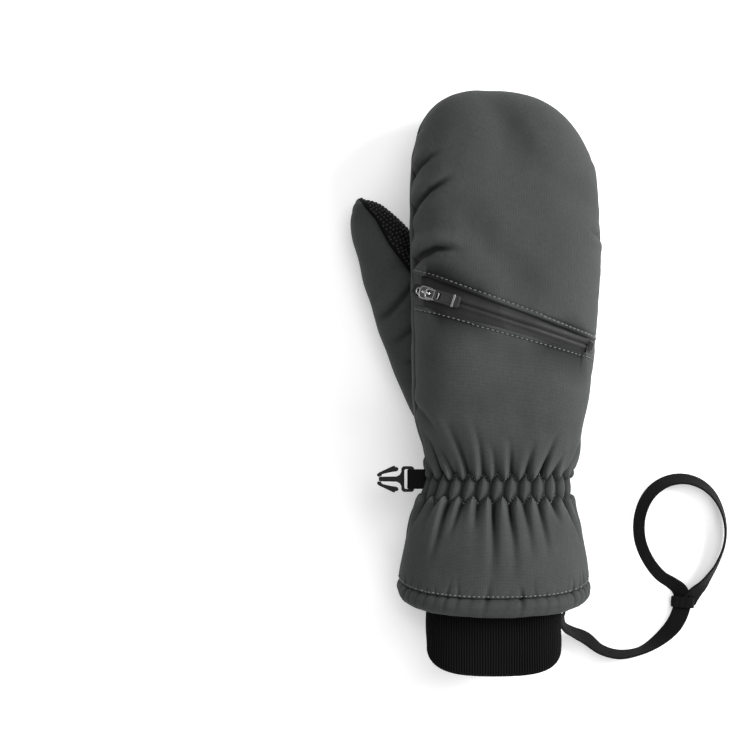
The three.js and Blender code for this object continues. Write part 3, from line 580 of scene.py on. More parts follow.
def webbing_material():
    """Narrow woven webbing: fine ribs across it, with a rubbed lighter face."""
    n = Nodes("webbing_weave")
    place = n.place()
    ribs = n.bands(place, 1.05, "X", 0.3, 2)
    yarns = n.bands(place, 0.7, "Y", 0.5, 2)
    twill = n.bands(place, 1.3, "DIAGONAL")
    wear = n.noise(place, 6, 4)
    share = n.sum((ribs, 0.35), (yarns, 0.25), (wear, 0.4))
    colour = n.mix(share, (0.0015, 0.0015, 0.0017), (0.0085, 0.0085, 0.009))
    height = n.sum((n.math("MAXIMUM", ribs, yarns), 1), (twill, 0.4))
    return n.finish(colour, n.sum((0.62, 1), (wear, 0.2)), height, 0.5, 0.2, sheen_weight=0.01,
                    specular_ior_level=0.06)


def knit_material():
    """Ribbed knit: columns of small loops, with painted shade between the ribs."""
    n = Nodes("rib_knit")
    place = n.place()
    loops = n.bands(place, 1.1, "Y", 0.8, 4)
    columns = n.bands(place, 0.7, "X", 0.4, 2)
    fuzz = n.noise(place, 0.8, 5, 0.7)
    patchy = n.noise(place, 14, 2)
    share = n.sum((loops, 0.3), (fuzz, 0.45), (patchy, 0.2))
    colour = n.mix(share, (0.0012, 0.0012, 0.0014), (0.0075, 0.0075, 0.0082))
    # Painted shade: near black in the hollows between the ribs.
    colour = n.mix(n.remap(n.fold(), -0.32, 0.2, 0.85, 0.0), colour, (0.001, 0.001, 0.001))
    height = n.sum((n.math("MULTIPLY", loops, columns), 1), (fuzz, 0.6))
    return n.finish(colour, n.sum((0.82, 1), (fuzz, 0.15)), height, 0.4, 0.12, sheen_weight=0.03,
                    sheen_roughness=0.5, specular_ior_level=0.08)


def tape_material():
    """Film-coated zip tape: the fine coil shows through as ribs across it."""
    n = Nodes("coated_tape")
    place = n.place()
    ribs = n.bands(place, 1.0, "X")
    slant = n.bands(place, 2.6, "DIAGONAL", 1.5, 2)
    dust = n.noise(place, 5, 4)
    colour = n.mix(n.sum((ribs, 0.4), (dust, 0.5)), (0.003, 0.003, 0.0034), (0.013, 0.013, 0.0138))
    roughness = n.sum((0.48, 1), (dust, 0.22))
    return n.finish(colour, roughness, n.sum((ribs, 1), (slant, 0.25)), 0.3, 0.12, specular_ior_level=0.3)


def solid_material(name, dark, light, rough, spread, metallic=0.0, grain=0.8, bump=0.15, **constants):
    """Moulded plastic, plated metal, thread or rubber: fine grain, small scratches and uneven gloss."""
    n = Nodes(name)
    place = n.place(False)
    fine = n.noise(place, grain, 5, 0.6)
    broad = n.noise(place, grain * 9, 3)
    scratch_place = n.add("ShaderNodeMapping", {"Vector": place, "Scale": (1.0, 9.0, 3.0)}).outputs[0]
    scratch = n.noise(scratch_place, grain * 2.5, 6, 0.7)
    colour = n.mix(n.sum((fine, 0.55), (broad, 0.45)), dark, light)
    roughness = n.sum((rough, 1), (scratch, spread))
    n.shader.inputs["Metallic"].default_value = metallic
    return n.finish(colour, roughness, n.sum((fine, 0.6), (scratch, 0.4)), bump, 0.08, **constants)


GREY = (0.018, 0.0197, 0.0189), (0.050, 0.0540, 0.0520)
SHELL = woven("shell_weave", *GREY)
THUMB_CLOTH = woven("thumb_weave", *GREY)
GRIP = woven("grip_weave", (0.0015, 0.0015, 0.0018), (0.006, 0.006, 0.0065), 1.15, True, 0.75, 0.01, 0.08)
LINER = woven("lining_pile", (0.010, 0.010, 0.011), (0.030, 0.031, 0.034), 1.6, False, 0.92, 0.5)
ELASTIC = woven("elastic_rib", (0.006, 0.006, 0.006), (0.02, 0.02, 0.02), 1.2, False)
BAG = woven("bag_cloth", (0.012, 0.012, 0.013), (0.03, 0.03, 0.032), 0.8, False)
WEBBING = webbing_material()
KNIT = knit_material()
TAPE = tape_material()
THREAD = solid_material("grey_thread", (0.070, 0.074, 0.072), (0.165, 0.17, 0.166), 0.6, 0.2, grain=0.5, bump=0.4)
DARK_THREAD = solid_material("dark_thread", (0.045, 0.048, 0.046), (0.10, 0.105, 0.10), 0.6, 0.2, grain=0.5,
                             bump=0.4)
DOTS = solid_material("grip_dots", (0.007, 0.007, 0.0074), (0.016, 0.016, 0.017), 0.4, 0.15, grain=0.6,
                      bump=0.1, specular_ior_level=0.3)
PLASTIC = solid_material("moulded_plastic", (0.002, 0.002, 0.0022), (0.006, 0.006, 0.0065), 0.42, 0.2,
                         grain=0.9, specular_ior_level=0.22)
METAL = solid_material("plated_metal", (0.07, 0.07, 0.072), (0.16, 0.16, 0.165), 0.16, 0.22, 1.0)
COATED = solid_material("black_coated_metal", (0.004, 0.004, 0.0042), (0.011, 0.011, 0.0115), 0.5, 0.2,
                        specular_ior_level=0.25)
BRIGHT = solid_material("bright_metal", (0.26, 0.26, 0.265), (0.48, 0.48, 0.48), 0.14, 0.2, 1.0)
RUBBER = solid_material("soft_tab", (0.006, 0.006, 0.0065), (0.016, 0.016, 0.017), 0.5, 0.2, grain=0.7, bump=0.25)
WADDING = solid_material("wadding", (0.012, 0.012, 0.012), (0.03, 0.03, 0.03), 0.9, 0.08, grain=2.0, bump=0.8)
FILM = solid_material("membrane_film", (0.020, 0.021, 0.022), (0.045, 0.047, 0.048), 0.35, 0.2, grain=3.0)


def dress(piece, material, body="hand", stands_for=()):
    piece.data.materials.clear()
    piece.data.materials.append(material)
    if stands_for:
        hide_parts(*stands_for)
    if body:
        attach(piece, body)
    return piece


# ---- The leash ----

EYE_PLACE = (98.4, -163.4)
EYE_TURNS = 40
# along the strap, out from it
EYE_PROFILE = [(-2.9, 0.0), (-2.7, 1.15), (0, 1.35), (2.7, 1.15), (2.9, 0.0), (2.6, -0.35), (-2.6, -0.35)]


def spline(rows, count):
    """A smooth curve through the rows, evenly stepped, and its length."""
    rows = np.asarray(rows, float)
    chords = running_length(rows[:, :3], 0.5)
    fine = read_rows(np.concatenate([chords[:, None], rows], axis=1), np.linspace(0, chords[-1], 1500))[:, 1:]
    length = running_length(fine[:, :3])
    return read_along(length, fine, np.linspace(0, length[-1], count)), length[-1]


def rolled_axes(tangent, roll):
    """The webbing's own axes, across it and out of its face, rolled onto its edge by an angle."""
    side = unit(np.cross(tangent, [0, 0, 1.0]))
    turn = np.radians(np.asarray(roll))[..., None]
    across = side * np.cos(turn) + np.cross(side, tangent) * np.sin(turn)
    return across, np.cross(across, tangent)


def strap(name, line, across, normal, width, thick, smooth_angle):
    """Flat webbing with rounded edges, swept along a line."""
    half, edge = width / 2, thick / 2
    top = [(-half, 0), (-half + 0.25, edge * 0.85), (-half + 0.9, edge), (-half * 0.4, edge * 0.92),
           (half * 0.4, edge * 0.92), (half - 0.9, edge), (half - 0.25, edge * 0.85), (half, 0)]
    section = np.array(top + [(u, -v) for u, v in top[-2:0:-1]])
    grid = np.stack([line + across * u + normal * v for u, v in section], 1)
    uv = np.stack(np.broadcast_arrays(running_length(line)[:, None], section[None, :, 0]), -1)
    return to_object(name, grid, stack_faces(*grid.shape[:2]), uv, smooth_angle=smooth_angle)


def leash_line():
    """The leash's line with its roll, kept just above the surface that it lies on, and its length."""
    route = LEASH_ROUTE.copy()
    roll = np.radians(route[:, 3])
    lie = LEASH_WIDTH / 2 * np.sin(roll) + LEASH_THICK / 2 * np.cos(roll) + 0.4
    route[4:, 2] = np.clip(route[4:, 2], lie[4:], lie[4:] + 0.6)
    return spline(route, 260)


def eye_ring():
    """The sewn eye: webbing folded round the strap."""
    at = int(np.argmin(np.linalg.norm(leash_path[:, :2] - EYE_PLACE, axis=1)))
    tangent = unit(leash_path[at + 2, :3] - leash_path[at - 2, :3])
    across, normal = rolled_axes(tangent, leash_path[at, 3])
    points = []
    for turn in 2 * math.pi * np.arange(EYE_TURNS) / EYE_TURNS:
        u, v = swell(math.cos(turn), 5), swell(math.sin(turn), 3)
        points += [leash_path[at, :3] + tangent * along + across * u * (5.3 + out * 0.8) + normal * v * (1.3 + out)
                   for along, out in EYE_PROFILE]
    faces = grid_faces(EYE_TURNS, len(EYE_PROFILE), wrap_rows=True, wrap_columns=True)
    uv = [(k, i * 1.5) for k in range(EYE_TURNS) for i in range(len(EYE_PROFILE))]
    return to_object("leash_eye_fold", points, faces, uv, smooth_angle=60)


leash_path, leash_length = leash_line()
leash_axes = rolled_axes(unit(np.gradient(leash_path[:, :3], axis=0)), leash_path[:, 3])
leash = strap("leash_webbing", leash_path[:, :3], *leash_axes, LEASH_WIDTH, LEASH_THICK, 40)
eye_piece = eye_ring()
dress(leash, WEBBING, "hand", ["leash_strap"])
dress(eye_piece, WEBBING, "hand", ["leash_eye"])

# ---- Folds of the hand's cloth ----

BUBBLES = 27  # gathers of the elastic round the wrist
BAND_Y, BAND_HALF, BAND_DEPTH = -98.9, 7.4, 1.9
ZIGZAG_TOP, ZIGZAG_DROP = 1.04, 1.16  # the band's edge at a bubble's middle, and its drop to the next, as shares
HEM_PUCKERS = 46
CLOTH_LIMIT = -2.6  # the deepest fold

ring_angle = np.linspace(0, 2 * math.pi, 721)
wrist_ring = skin(BAND_Y, ring_angle)
ring_count = BUBBLES * steps(wrist_ring[None], 1)[0] / steps(wrist_ring[None], 1)[0, -1]


def gathers(least, depth, reach, lean):
    """Each gather's depth, how far it runs out from the band and how it leans."""
    return (rng.uniform(least, 1.0, BUBBLES) ** 1.4 * depth, rng.uniform(reach, 42, BUBBLES),
            rng.uniform(-lean, lean, BUBBLES))


GATHERS_ABOVE = gathers(0.5, 5.0, 11, 0.02)
GATHERS_BELOW = gathers(0.45, 4.6, 13, 0.012)
fold_x = np.interp(np.arange(BUBBLES) + 0.5, np.linspace(0, BUBBLES, 721), wrist_ring[:, 0])
FAN = np.where(np.arange(BUBBLES) < BUBBLES / 2, -1, 1) * np.clip(fold_x / 34, -1, 1)
pucker_depth = rng.uniform(0.2, 1.0, HEM_PUCKERS)
pucker_lean = rng.uniform(-0.05, 0.05, HEM_PUCKERS)
pucker_reach = rng.uniform(3, 11, HEM_PUCKERS)


def fold_set(q, distance, folds, fan):
    """Ridges and creases that run out of the gathered band and die away."""
    ridge = 0.5 - 0.5 * np.cos(2 * math.pi * q)
    height = BAND_DEPTH * np.exp(-distance / 7.5) * ridge
    height = height + 0.9 * np.exp(-distance / 17) * (0.5 - 0.5 * np.cos(math.pi * (q + 0.4)))
    for k, (depth, reach, lean) in enumerate(zip(*folds)):
        off = wrapped(q - (k + (lean + fan[k]) * distance), BUBBLES)
        fade = depth * np.clip(1 - distance / reach, 0, 1) ** 1.1
        height = height - fade * bell(off, 0.11 + 0.006 * distance)
        height = height + 0.5 * fade * bell(off, 0.3 + 0.014 * distance, 0.42)
    return height


def wrist_relief(y, angle):
    """The elastic band's bubbles and the gathers above and below it."""
    q = np.interp(np.mod(angle, 2 * math.pi), ring_angle, ring_count)
    off = np.abs(q - np.round(q))
    u = (y - BAND_Y) / BAND_HALF
    inside = ZIGZAG_TOP - ZIGZAG_DROP * off - np.abs(u)
    crown = (1 - np.exp(-np.maximum(inside, 0) / 0.26)) * np.cos(math.pi * off) ** 0.9
    bubble = (1 + BAND_DEPTH) * crown - BAND_DEPTH
    from_band = np.maximum(np.abs(y - BAND_Y) - 0.45 * BAND_HALF, 0)
    above = fold_set(q, from_band, GATHERS_ABOVE, FAN * 0.055)
    below = fold_set(q, from_band, GATHERS_BELOW, FAN * 0.03)
    rise = 1 - np.exp(-np.maximum(-inside, 0) / 0.2)
    outside = rise * (np.where(u > 0, above, below) + BAND_DEPTH) - BAND_DEPTH
    reach = np.where(y > BAND_Y, ramp(y, -42, -58), ramp(y, -147, -136))
    return np.maximum(np.where(inside > 0, bubble, outside) * reach, CLOTH_LIMIT)


def hem_relief(distance, angle):
    """Small puckers that run up from the hem's stitching."""
    q = np.mod(angle, 2 * math.pi) / (2 * math.pi) * HEM_PUCKERS
    relief = 0.5 * np.exp(-distance / 6) + groove(distance, 1.0, 0.8)
    for k in range(HEM_PUCKERS):
        fade = np.clip(1 - distance / pucker_reach[k], 0, 1)
        off = wrapped(q - k - pucker_lean[k] * distance, HEM_PUCKERS)
        relief = relief - 1.5 * pucker_depth[k] * fade * bell(off, 0.16)
    return relief


def crease(x, y, points, depth, width, bulge=0.6):
    """A fold along a line of points, with the cloth standing up on its upper side."""
    points = np.asarray(points, float)
    best = np.full(np.broadcast(x, y).shape, 1e9)
    side, along = np.zeros_like(best), np.zeros_like(best)
    total = len(points) - 1
    for k, (a, b) in enumerate(zip(points, points[1:])):
        step = b - a
        t = np.clip(((x - a[0]) * step[0] + (y - a[1]) * step[1]) / (step @ step), 0, 1)
        dx, dy = x - a[0] - t * step[0], y - a[1] - t * step[1]
        away = np.hypot(dx, dy)
        nearer = away < best
        best = np.where(nearer, away, best)
        side = np.where(nearer, np.sign(step[0] * dy - step[1] * dx), side)
        along = np.where(nearer, (k + t) / total, along)
    off = best * side / width
    shape = bulge * (bell(off, 2.2, 2.6) + 0.35 * bell(off, 2.2, -2.4)) - bell(off, 1)
    return depth * shape * (1 - ramp(along, 0.45, 1.0))


# For each crease: its points in plan, its depth and its width
BACK_CREASES = [
    ([(-51, 62), (-46, 69), (-40, 74), (-34, 77)], 1.8, 1.5),
    ([(-51, 43), (-46.5, 50), (-41, 56), (-33, 61), (-27, 63)], 2.5, 1.6),
    ([(-51, 17), (-45, 22.5), (-38, 25.5), (-30, 25.2), (-22, 23)], 3.4, 1.9),
    ([(-51, 84), (-47, 88), (-42, 91)], 0.9, 1.4),
    ([(52, 31), (47, 33.5), (40, 36)], 1.0, 1.3),
    ([(52, 70), (48, 73), (44, 75)], 0.7, 1.2),
    ([(-50, -54), (-44, -60), (-38, -68), (-34, -74)], 1.2, 1.6),
]
PALM_CREASES = [
    ([(-22, 18), (-8, 21.5), (6, 21), (18, 18.5), (30, 19)], 1.5, 1.5),
    ([(-16, 25), (-4, 27), (8, 25.5), (18, 23)], 1.1, 1.3),
    ([(2, 13.5), (14, 14.5), (26, 12), (36, 12.5)], 0.9, 1.2),
]


def creases(x, y, table):
    return sum(crease(x, y, *row) for row in table)


# ---- The hand's panels ----

STOP_RISE = 1.7
LIP_ABOVE = 1.8  # how far the cloth beside the zip stays above the tapes where it can
LIP_DROP = 1.9  # how far it can dip towards them


def palm_inset(rho, angle):
    """How far in from the outline, in plan, the palm's panels meet the side strips."""
    side = 0.5 - 0.5 * np.cos(np.asarray(angle, float))
    wide = 4.5 + (6.5 - 2.5 * side) * ramp(rho, 5, 60)
    return wide * ramp(rho, STRIP_END_Y, -62)


def back_inset(rho, angle):
    """How far in the back's seam lies; the thumb-side seam is pulled up into sight."""
    thumb_side = ramp(-np.cos(np.asarray(angle, float)), 0.2, 1.0) * (1 - ramp(rho, DOME_Y, DOME_Y + 30))
    return (0.15 + 0.85 * thumb_side) * ramp(rho, STRIP_END_Y - 2, -66)


def row_on(line, angle, inset_of, offset=0.0):
    """The row measure at which each column of a panel meets a line across the hand, or a measure itself."""
    if np.isscalar(line):
        return np.full_like(angle, line)
    rho = np.zeros_like(angle)
    for _ in range(25):
        inset = inset_of(rho, angle)
        x = skin(rho, angle, inset, under=False)[..., 0]
        rho = rho_of(line_at(line, x) + offset, inset)
    return rho


def half_grid(low, high, rows, columns, palm=False, offsets=(0.0, 0.0)):
    """A grid over the back or the palm between two lines: its points, angles and row measures."""
    inset_of = palm_inset if palm else back_inset
    angle = np.linspace(*((math.pi, 2 * math.pi) if palm else (0, math.pi)), columns)
    low, high = (row_on(line, angle, inset_of, offset) for line, offset in zip((low, high), offsets))
    rho = low + (high - low) * np.linspace(0, 1, rows)[:, None]
    return skin(rho, angle, inset_of(rho, angle), under=palm), np.broadcast_to(angle, rho.shape), rho


def zip_run(x, y):
    """How far along the zip's curve a place lies, as the sine of its turn."""
    along = x * math.cos(ZIP_ANGLE) + (y - ZIP_Y) * math.sin(ZIP_ANGLE)
    return np.clip((along - ZIP_CENTRE[0]) / ZIP_RADIUS, -0.95, 0.95)


def zip_place(x, y):
    return ZIP_CENTRE[0] + ZIP_RADIUS * np.arcsin(zip_run(x, y))


def over_stops(x, y):
    """The tape's rise over the stop at each end, as a share."""
    place = zip_place(x, y)
    return np.where(place > 0, ramp(place, 46.6, 48.0), ramp(-place, 49.1, 50.8))


def zip_height(x, y):
    """Top of the tapes: the curve that the slider runs on, raised over the stops at its ends."""
    return ZIP_CENTRE[1] + ZIP_RADIUS * np.sqrt(1 - zip_run(x, y)**2) + STOP_RISE * over_stops(x, y)


def back_relief(grid, zip_edge, seam_depth, waves):
    """What both back panels share: creases, waves, side seams, and the stitched fold that dips to the zip."""
    x, y, z = np.moveaxis(grid, -1, 0)
    beside = edge_distance(grid, [zip_edge])
    relief = creases(x, y, BACK_CREASES) + groove(edge_distance(grid, ["left", "right"]), seam_depth)
    relief = relief + sum(height * ripple(x, y, wavelength, seed) for height, wavelength, seed in waves)
    fold = 0.35 * bell(beside, 0.7, 1.2) - 0.55 * bell(beside, 0.65, 2.5) + groove(beside, 0.5, 0.3)
    dip = np.clip(z - zip_height(x, y) - LIP_ABOVE, 0, LIP_DROP) * np.exp(-((beside / 9.0) ** 1.5))
    return relief + fold - dip


# The back above the zip
grid, _, rho = half_grid(ZIP_UPPER_EDGE, DOME_END, 170, 190)
tip = ramp(rho, DOME_END - 6, DOME_END)
relief = back_relief(grid, "low", 1.3, ((0.5, 36, 3), (0.07, 13, 4))) * (1 - tip) - 0.6 * tip
back_upper, *upper_face = panel("shell_back_upper", grid, np.clip(relief, CLOTH_LIMIT, 3.2))
dress(back_upper, SHELL, "hand", ["back_panel_upper"])

# The back below the zip, through the gathers to the hem
grid, angle, lower_rho = half_grid(HEM_Y, ZIP_LOWER_EDGE, 300, 330)
relief = wrist_relief(lower_rho, angle) + hem_relief(lower_rho - HEM_Y, angle)
relief = relief + back_relief(grid, "high", 0.9, ((0.4, 32, 5), (0.07, 12, 6)))
back_lower, *lower_face = panel("shell_back_lower", grid, np.clip(relief, CLOTH_LIMIT, 3.4))
dress(back_lower, SHELL, "hand", ["back_panel_lower"])

# The palm, from the finger tips to the hem: its lines, its grid, its cloth, its CAD node and its sewn edges
PALM_PARTS = {
    "grip_fingertips": (FINGER_PATCH_EDGE, DOME_END, 120, 150, GRIP, "grip_cloth", "fingertip_grip_patch",
                        ("low", "left", "right")),
    "shell_palm_mid": (PALM_PATCH_TOP, FINGER_PATCH_EDGE, 70, 150, SHELL, "shell_cloth", "palm_mid_panel",
                       ALL_EDGES),
    "grip_palm": (PALM_PATCH_FOOT, PALM_PATCH_TOP, 90, 150, GRIP, "grip_cloth", "palm_grip_patch", ALL_EDGES),
    "shell_palm_heel": (HEM_Y, PALM_PATCH_FOOT, 190, 330, SHELL, "shell_cloth", "palm_heel_panel",
                        ("high", "left", "right")),
}
palm_faces = {}
for name, (low, high, rows, columns, cloth, slot_name, node, sewn) in PALM_PARTS.items():
    grid, angle, rho = half_grid(low, high, rows, columns, palm=True)
    x, y = grid[..., 0], grid[..., 1]
    relief = 0.35 * ripple(x, y, 26, 8) + creases(x, y, PALM_CREASES) + wrist_relief(rho, angle)
    relief = relief + groove(edge_distance(grid, sewn), 1.0)
    if name == "shell_palm_heel":
        relief = relief + hem_relief(rho - HEM_Y, angle)
        heel_rho = rho
    beside_thumb = thumb_gap(x, y)  # the folds flatten near the thumb, to leave it room
    lowest = -0.1 - 2.3 * ramp(beside_thumb, 2, 7)
    highest = np.minimum(3.2, 0.1 + 0.35 * np.maximum(beside_thumb - 2, 0))
    piece, *palm_faces[name] = panel(name, grid, np.clip(relief, lowest, highest))
    dress(piece, cloth, "hand", [node])


def side_strip(word, angle, seed):
    """The narrow strip between back and palm, from the wrist gathers to the finger tip."""
    rho = np.linspace(STRIP_END_Y, DOME_END, 260)[:, None]
    share = np.linspace(0, 1, 26)[None, :]
    split = 0.42  # where it turns from the back's side to the palm's
    inset_top = back_inset(rho, angle) * np.clip(1 - share / split, 0, 1) ** 2.4
    inset_low = palm_inset(rho, angle) * np.clip((share - split) / (1 - split), 0, 1) ** 2.2
    inset = np.where(share < split, inset_top, inset_low)
    grid = skin(rho, angle, inset, under=np.broadcast_to(share >= split, inset.shape))
    relief = 0.25 * ripple(grid[..., 1], grid[..., 2], 14, seed)
    relief = relief + groove(edge_distance(grid, ["left", "right"]), 1.2, 0.9)
    piece, _, _ = panel(f"shell_strip_{word}", grid, relief * ramp(rho, STRIP_END_Y, STRIP_END_Y + 8))
    dress(piece, SHELL, "hand", [f"side_strip_{word}"])


side_strip("thumb", math.pi, 11)
side_strip("little", 0.0, 12)


def hem_roll():
    """The padded edge of the gauntlet, pinched all round by its stitching."""
    around, sides, size = 420, 28, 5.0
    angle = np.linspace(0, 2 * math.pi, around, endpoint=False)
    edge = skin(HEM_Y, angle)
    outward = unit((edge - [-6.0, 0, 30.0]) * [1, 0, 1])
    centre = edge - outward * 3.6 - [0, 4.9, 0]
    q = angle / (2 * math.pi) * HEM_PUCKERS
    points, shade = [], []
    for turn in 2 * math.pi * np.arange(sides) / sides:
        up = math.sin(turn)
        pinch = np.zeros(around)
        for k in range(HEM_PUCKERS):
            off = wrapped(q - k - 0.12 * (1 - up), HEM_PUCKERS)
            pinch -= pucker_depth[k] * bell(off, 0.17) * max(0, 0.55 + 0.45 * up)
        radius = (size + 1.25 * pinch + 0.2 * ripple(q * 6, np.full(around, turn * 3), 17, 21))[:, None]
        points.append(centre + outward * radius * math.cos(turn) + [0, 1.06 * up, 0] * radius)
        # Painted shade: darker in the pinches and along the side where the roll meets the shell.
        shade.append(pinch * 1.3 - 3.6 * max(0, up - 0.75))
    grid = np.stack(points, 1)
    grid[..., 2] = np.maximum(grid[..., 2], 0.3)
    uv = np.stack(np.broadcast_arrays(steps(grid[:, :1], 0), np.arange(sides) * 1.1), -1)
    faces = grid_faces(around, sides, wrap_rows=True, wrap_columns=True)
    piece = to_object("hem_padded_roll", grid, faces, uv, np.stack(shade, 1))
    dress(piece, SHELL, "hand", ["hem_roll"])


hem_roll()


def cuff_ring(angle, inset, y):
    x = CUFF["x"] + (CUFF["half_width"] - inset) * swell(np.cos(angle))
    z = CUFF["z"] + (CUFF["half_height"] - inset) * swell(np.sin(angle))
    up = np.abs(swell(np.sin(angle)))
    bend = CUFF["end_curve"] * (1 - ramp(y, CUFF_Y[0], -158)) * (up + ramp(up, 0, 1)) / 2
    return np.stack([x, y - bend, z], -1)


def knit_cuff():
    """The knitted cuff: ribs on both faces of a wall that is turned over at its end."""
    ribs, per_rib, wall, skin_depth = 130, 8, CUFF["wall"], 0.3
    columns = ribs * per_rib
    ring = np.linspace(0, 2 * math.pi, 4001)
    length = steps(cuff_ring(ring, 0, -150.0)[None], 1)[0]
    around = np.arange(columns) / columns * length[-1]
    angle = np.interp(around, length, ring)
    end = CUFF_Y[0]
    profile = [(y, skin_depth) for y in (CUFF_Y[1], *np.linspace(-147, end + 2.2, 16))]
    profile += [(end + 1.4 - 1.4 * math.sin(f), wall / 2 - (wall / 2 - skin_depth) * math.cos(f))
                for f in np.linspace(0, math.pi, 9)]
    profile += [(y, wall) for y in (*np.linspace(end + 2.2, -147, 12), CUFF_Y[1])]
    rib = np.abs(np.cos(math.pi * np.arange(columns) / per_rib)) ** 0.8 * 0.8 - 0.55
    rows = []
    for y, inset in profile:
        side = 1 if inset < wall / 2 else -1
        wave = rib + 0.35 * ripple(angle * 12, np.full(columns, y), 20, 31)
        rows.append(cuff_ring(angle, inset - side * wave, y))
    grid = np.stack(rows, 0)
    uv = np.stack([np.broadcast_to(around, grid.shape[:2]), steps(grid, 0)], -1)
    faces = grid_faces(len(rows), columns, wrap_rows=True, wrap_columns=True)
    # The rib profile goes in as the attribute by which the knit paints shade between its ribs.
    piece = to_object("cuff_rib_knit", grid, faces, uv, np.broadcast_to(rib, grid.shape[:2]), smooth_angle=80)
    dress(piece, KNIT, "hand", ["knit_cuff"])


knit_cuff()

# ---- The thumb ----

# As the hand's creases, but along the thumb and across it
THUMB_CREASES = [
    ([(60, 10), (55, 2), (50.5, -7), (47, -17)], 2.2, 1.8),
    ([(44, 14), (39, 5), (36, -4), (34, -12)], 1.5, 1.7),
    ([(-10, 9), (4, 2), (12, -6)], 1.6, 1.7),
    ([(10, 14), (18, 6), (22, -2), (23, -9)], 1.4, 1.6),
]
THUMB_ENDS = (-29.5, 112.0)
THUMB_CAP = 2.6  # how far the ends bulge past THUMB_ENDS
THUMB_MIDDLE = np.array([-62.0, 5.0, 14.0])
GRIP_START = -19.5


def thumb_surface(along, angle):
    """A point of the thumb. Past THUMB_ENDS the section closes in a small dome."""
    row = read_rows(THUMB, along)
    beyond = np.maximum(THUMB_ENDS[0] - along, along - THUMB_ENDS[1]) / THUMB_CAP
    size = np.sqrt(np.clip(1 - np.maximum(beyond, 0) ** 2, 0, 1))
    (middle, half), (level, rise) = span(row), span(row, 3)
    x, y = from_thumb(along, middle + half * size * swell(np.cos(angle)))
    return np.stack([x, y, soft_floor(level + rise * size * swell(np.sin(angle)), blend=0.5)], -1)


def seam_angle(along):
    middle, half = span(read_rows(THUMB, along))
    n = np.clip((line_at(THUMB_SEAM, along) - middle) / half, -1, 1)
    return np.arccos(np.sign(n) * np.abs(n) ** (FULLNESS / 2))


def thumb_stations(start, count):
    """Places along the thumb, closing in towards its tip."""
    tip = THUMB_ENDS[1]
    cap = tip + THUMB_CAP * np.sin(np.linspace(0, math.pi / 2, 9))[1:]
    body = tip - (tip - start) * (1 - np.sin(math.pi / 2 * np.linspace(0, 1, count)))
    return np.concatenate([body, cap])[:, None]


def thumb_side(name, along, angle, cloth, slot_name, node):
    """One of the thumb's two panels; returns its face and its normals."""
    along = np.broadcast_to(along, angle.shape)
    grid = thumb_surface(along, angle)
    places = thumb_axes(grid[..., 0], grid[..., 1])
    relief = 0.4 * ripple(*places, 24, 41) + creases(*places, THUMB_CREASES) * ramp(grid[..., 2], 12, 18)
    relief = relief + groove(edge_distance(grid, ["left", "right"]), 1.1, 1.0)
    root, tip = THUMB_ENDS
    ends = np.minimum(ramp(along, root, root + 4), ramp(along, tip, tip - 4))
    piece, *face = panel(name, grid, np.clip(relief, -1.2, 0.9) * ends, thick=1.2, middle=THUMB_MIDDLE)
    dress(piece, cloth, "thumb", [node])
    return face


share = np.linspace(0, 1, 110)[None, :]
root_cap = THUMB_ENDS[0] - THUMB_CAP * np.sin(np.linspace(math.pi / 2, 0, 7))[:-1, None]
along = np.concatenate([root_cap, thumb_stations(THUMB_ENDS[0], 180)])
limit = seam_angle(along)
thumb_side("thumb_cloth_back", along, limit + (2 * math.pi - 2 * limit) * share, THUMB_CLOTH, "shell_cloth",
           "thumb_back_panel")
along = thumb_stations(GRIP_START, 150)
limit = seam_angle(along)
thumb_grip_face = thumb_side("thumb_cloth_grip", along, limit * (2 * share - 1), GRIP, "grip_cloth",
                             "thumb_grip_panel")

COLLAR_ALONG, COLLAR_HALF = 3.0, 27.0
COLLAR_WIDE = 0.72  # share of the thumb's half width
COLLAR_EDGE = 4.5  # least distance from the hand's thumb-side edge
COLLAR_LOW, COLLAR_HIGH = 20.5, 31.0
COLLAR_GATHERS = 23


def thumb_collar():
    """The gathered cloth that joins the thumb to the palm, round the hole between them."""
    count, rows = 160, 22
    turn = np.linspace(0, 2 * math.pi, count, endpoint=False)
    along = COLLAR_ALONG + COLLAR_HALF * np.cos(turn)
    middle, half = span(read_rows(THUMB, along))
    x, y = from_thumb(along, middle + COLLAR_WIDE * half * swell(np.sin(turn)))
    ring = np.stack([np.maximum(x, read_rows(SECTIONS, y)[:, 1] + COLLAR_EDGE), y], -1)
    run = unit(np.roll(ring, -1, 0) - np.roll(ring, 1, 0))
    out = np.stack([run[:, 1], -run[:, 0]], -1)
    share = np.linspace(0, 1, rows)
    height = COLLAR_LOW + (COLLAR_HIGH - COLLAR_LOW) * share
    gather = 0.45 * np.cos(turn * COLLAR_GATHERS)[:, None] * np.sin(math.pi * share)[None, :]
    walls = []
    for thick in (0.0, 1.0):
        flat = ring[:, None] + out[:, None] * (gather - thick)[..., None]
        walls.append(np.concatenate([flat, np.broadcast_to(height[None, :, None], (count, rows, 1))], -1))
    grid = np.concatenate([walls[0], walls[1][:, ::-1]], 1)
    faces = grid_faces(count, 2 * rows, wrap_rows=True, wrap_columns=True)
    # The gathers go in as the attribute by which the grip cloth paints shade in their hollows.
    piece = to_object("thumb_collar", grid, faces, np.stack([steps(grid, 0), steps(grid, 1)], -1),
                      np.concatenate([gather, gather[:, ::-1]], 1))
    # Black grip cloth all round: the inner side's own colour, and on the outer side, in the fold, painted shade.
    dress(piece, GRIP, None)
    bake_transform(piece)


thumb_collar()

# ---- Grip dots ----

DOT_PITCH, DOT_WAVE = 2.3, 2.2
DOT_CLEAR = 2.2  # from a patch's edges
DOT_GAP = (0.3, 3.0)  # distances beside the thumb where its cloth would meet the dots
DOT_RINGS = ((0.72, 0.0), (0.62, 0.26), (0.3, 0.42))  # radius, height
DOT_SINK, DOT_FLOOR = 0.1, 0.02


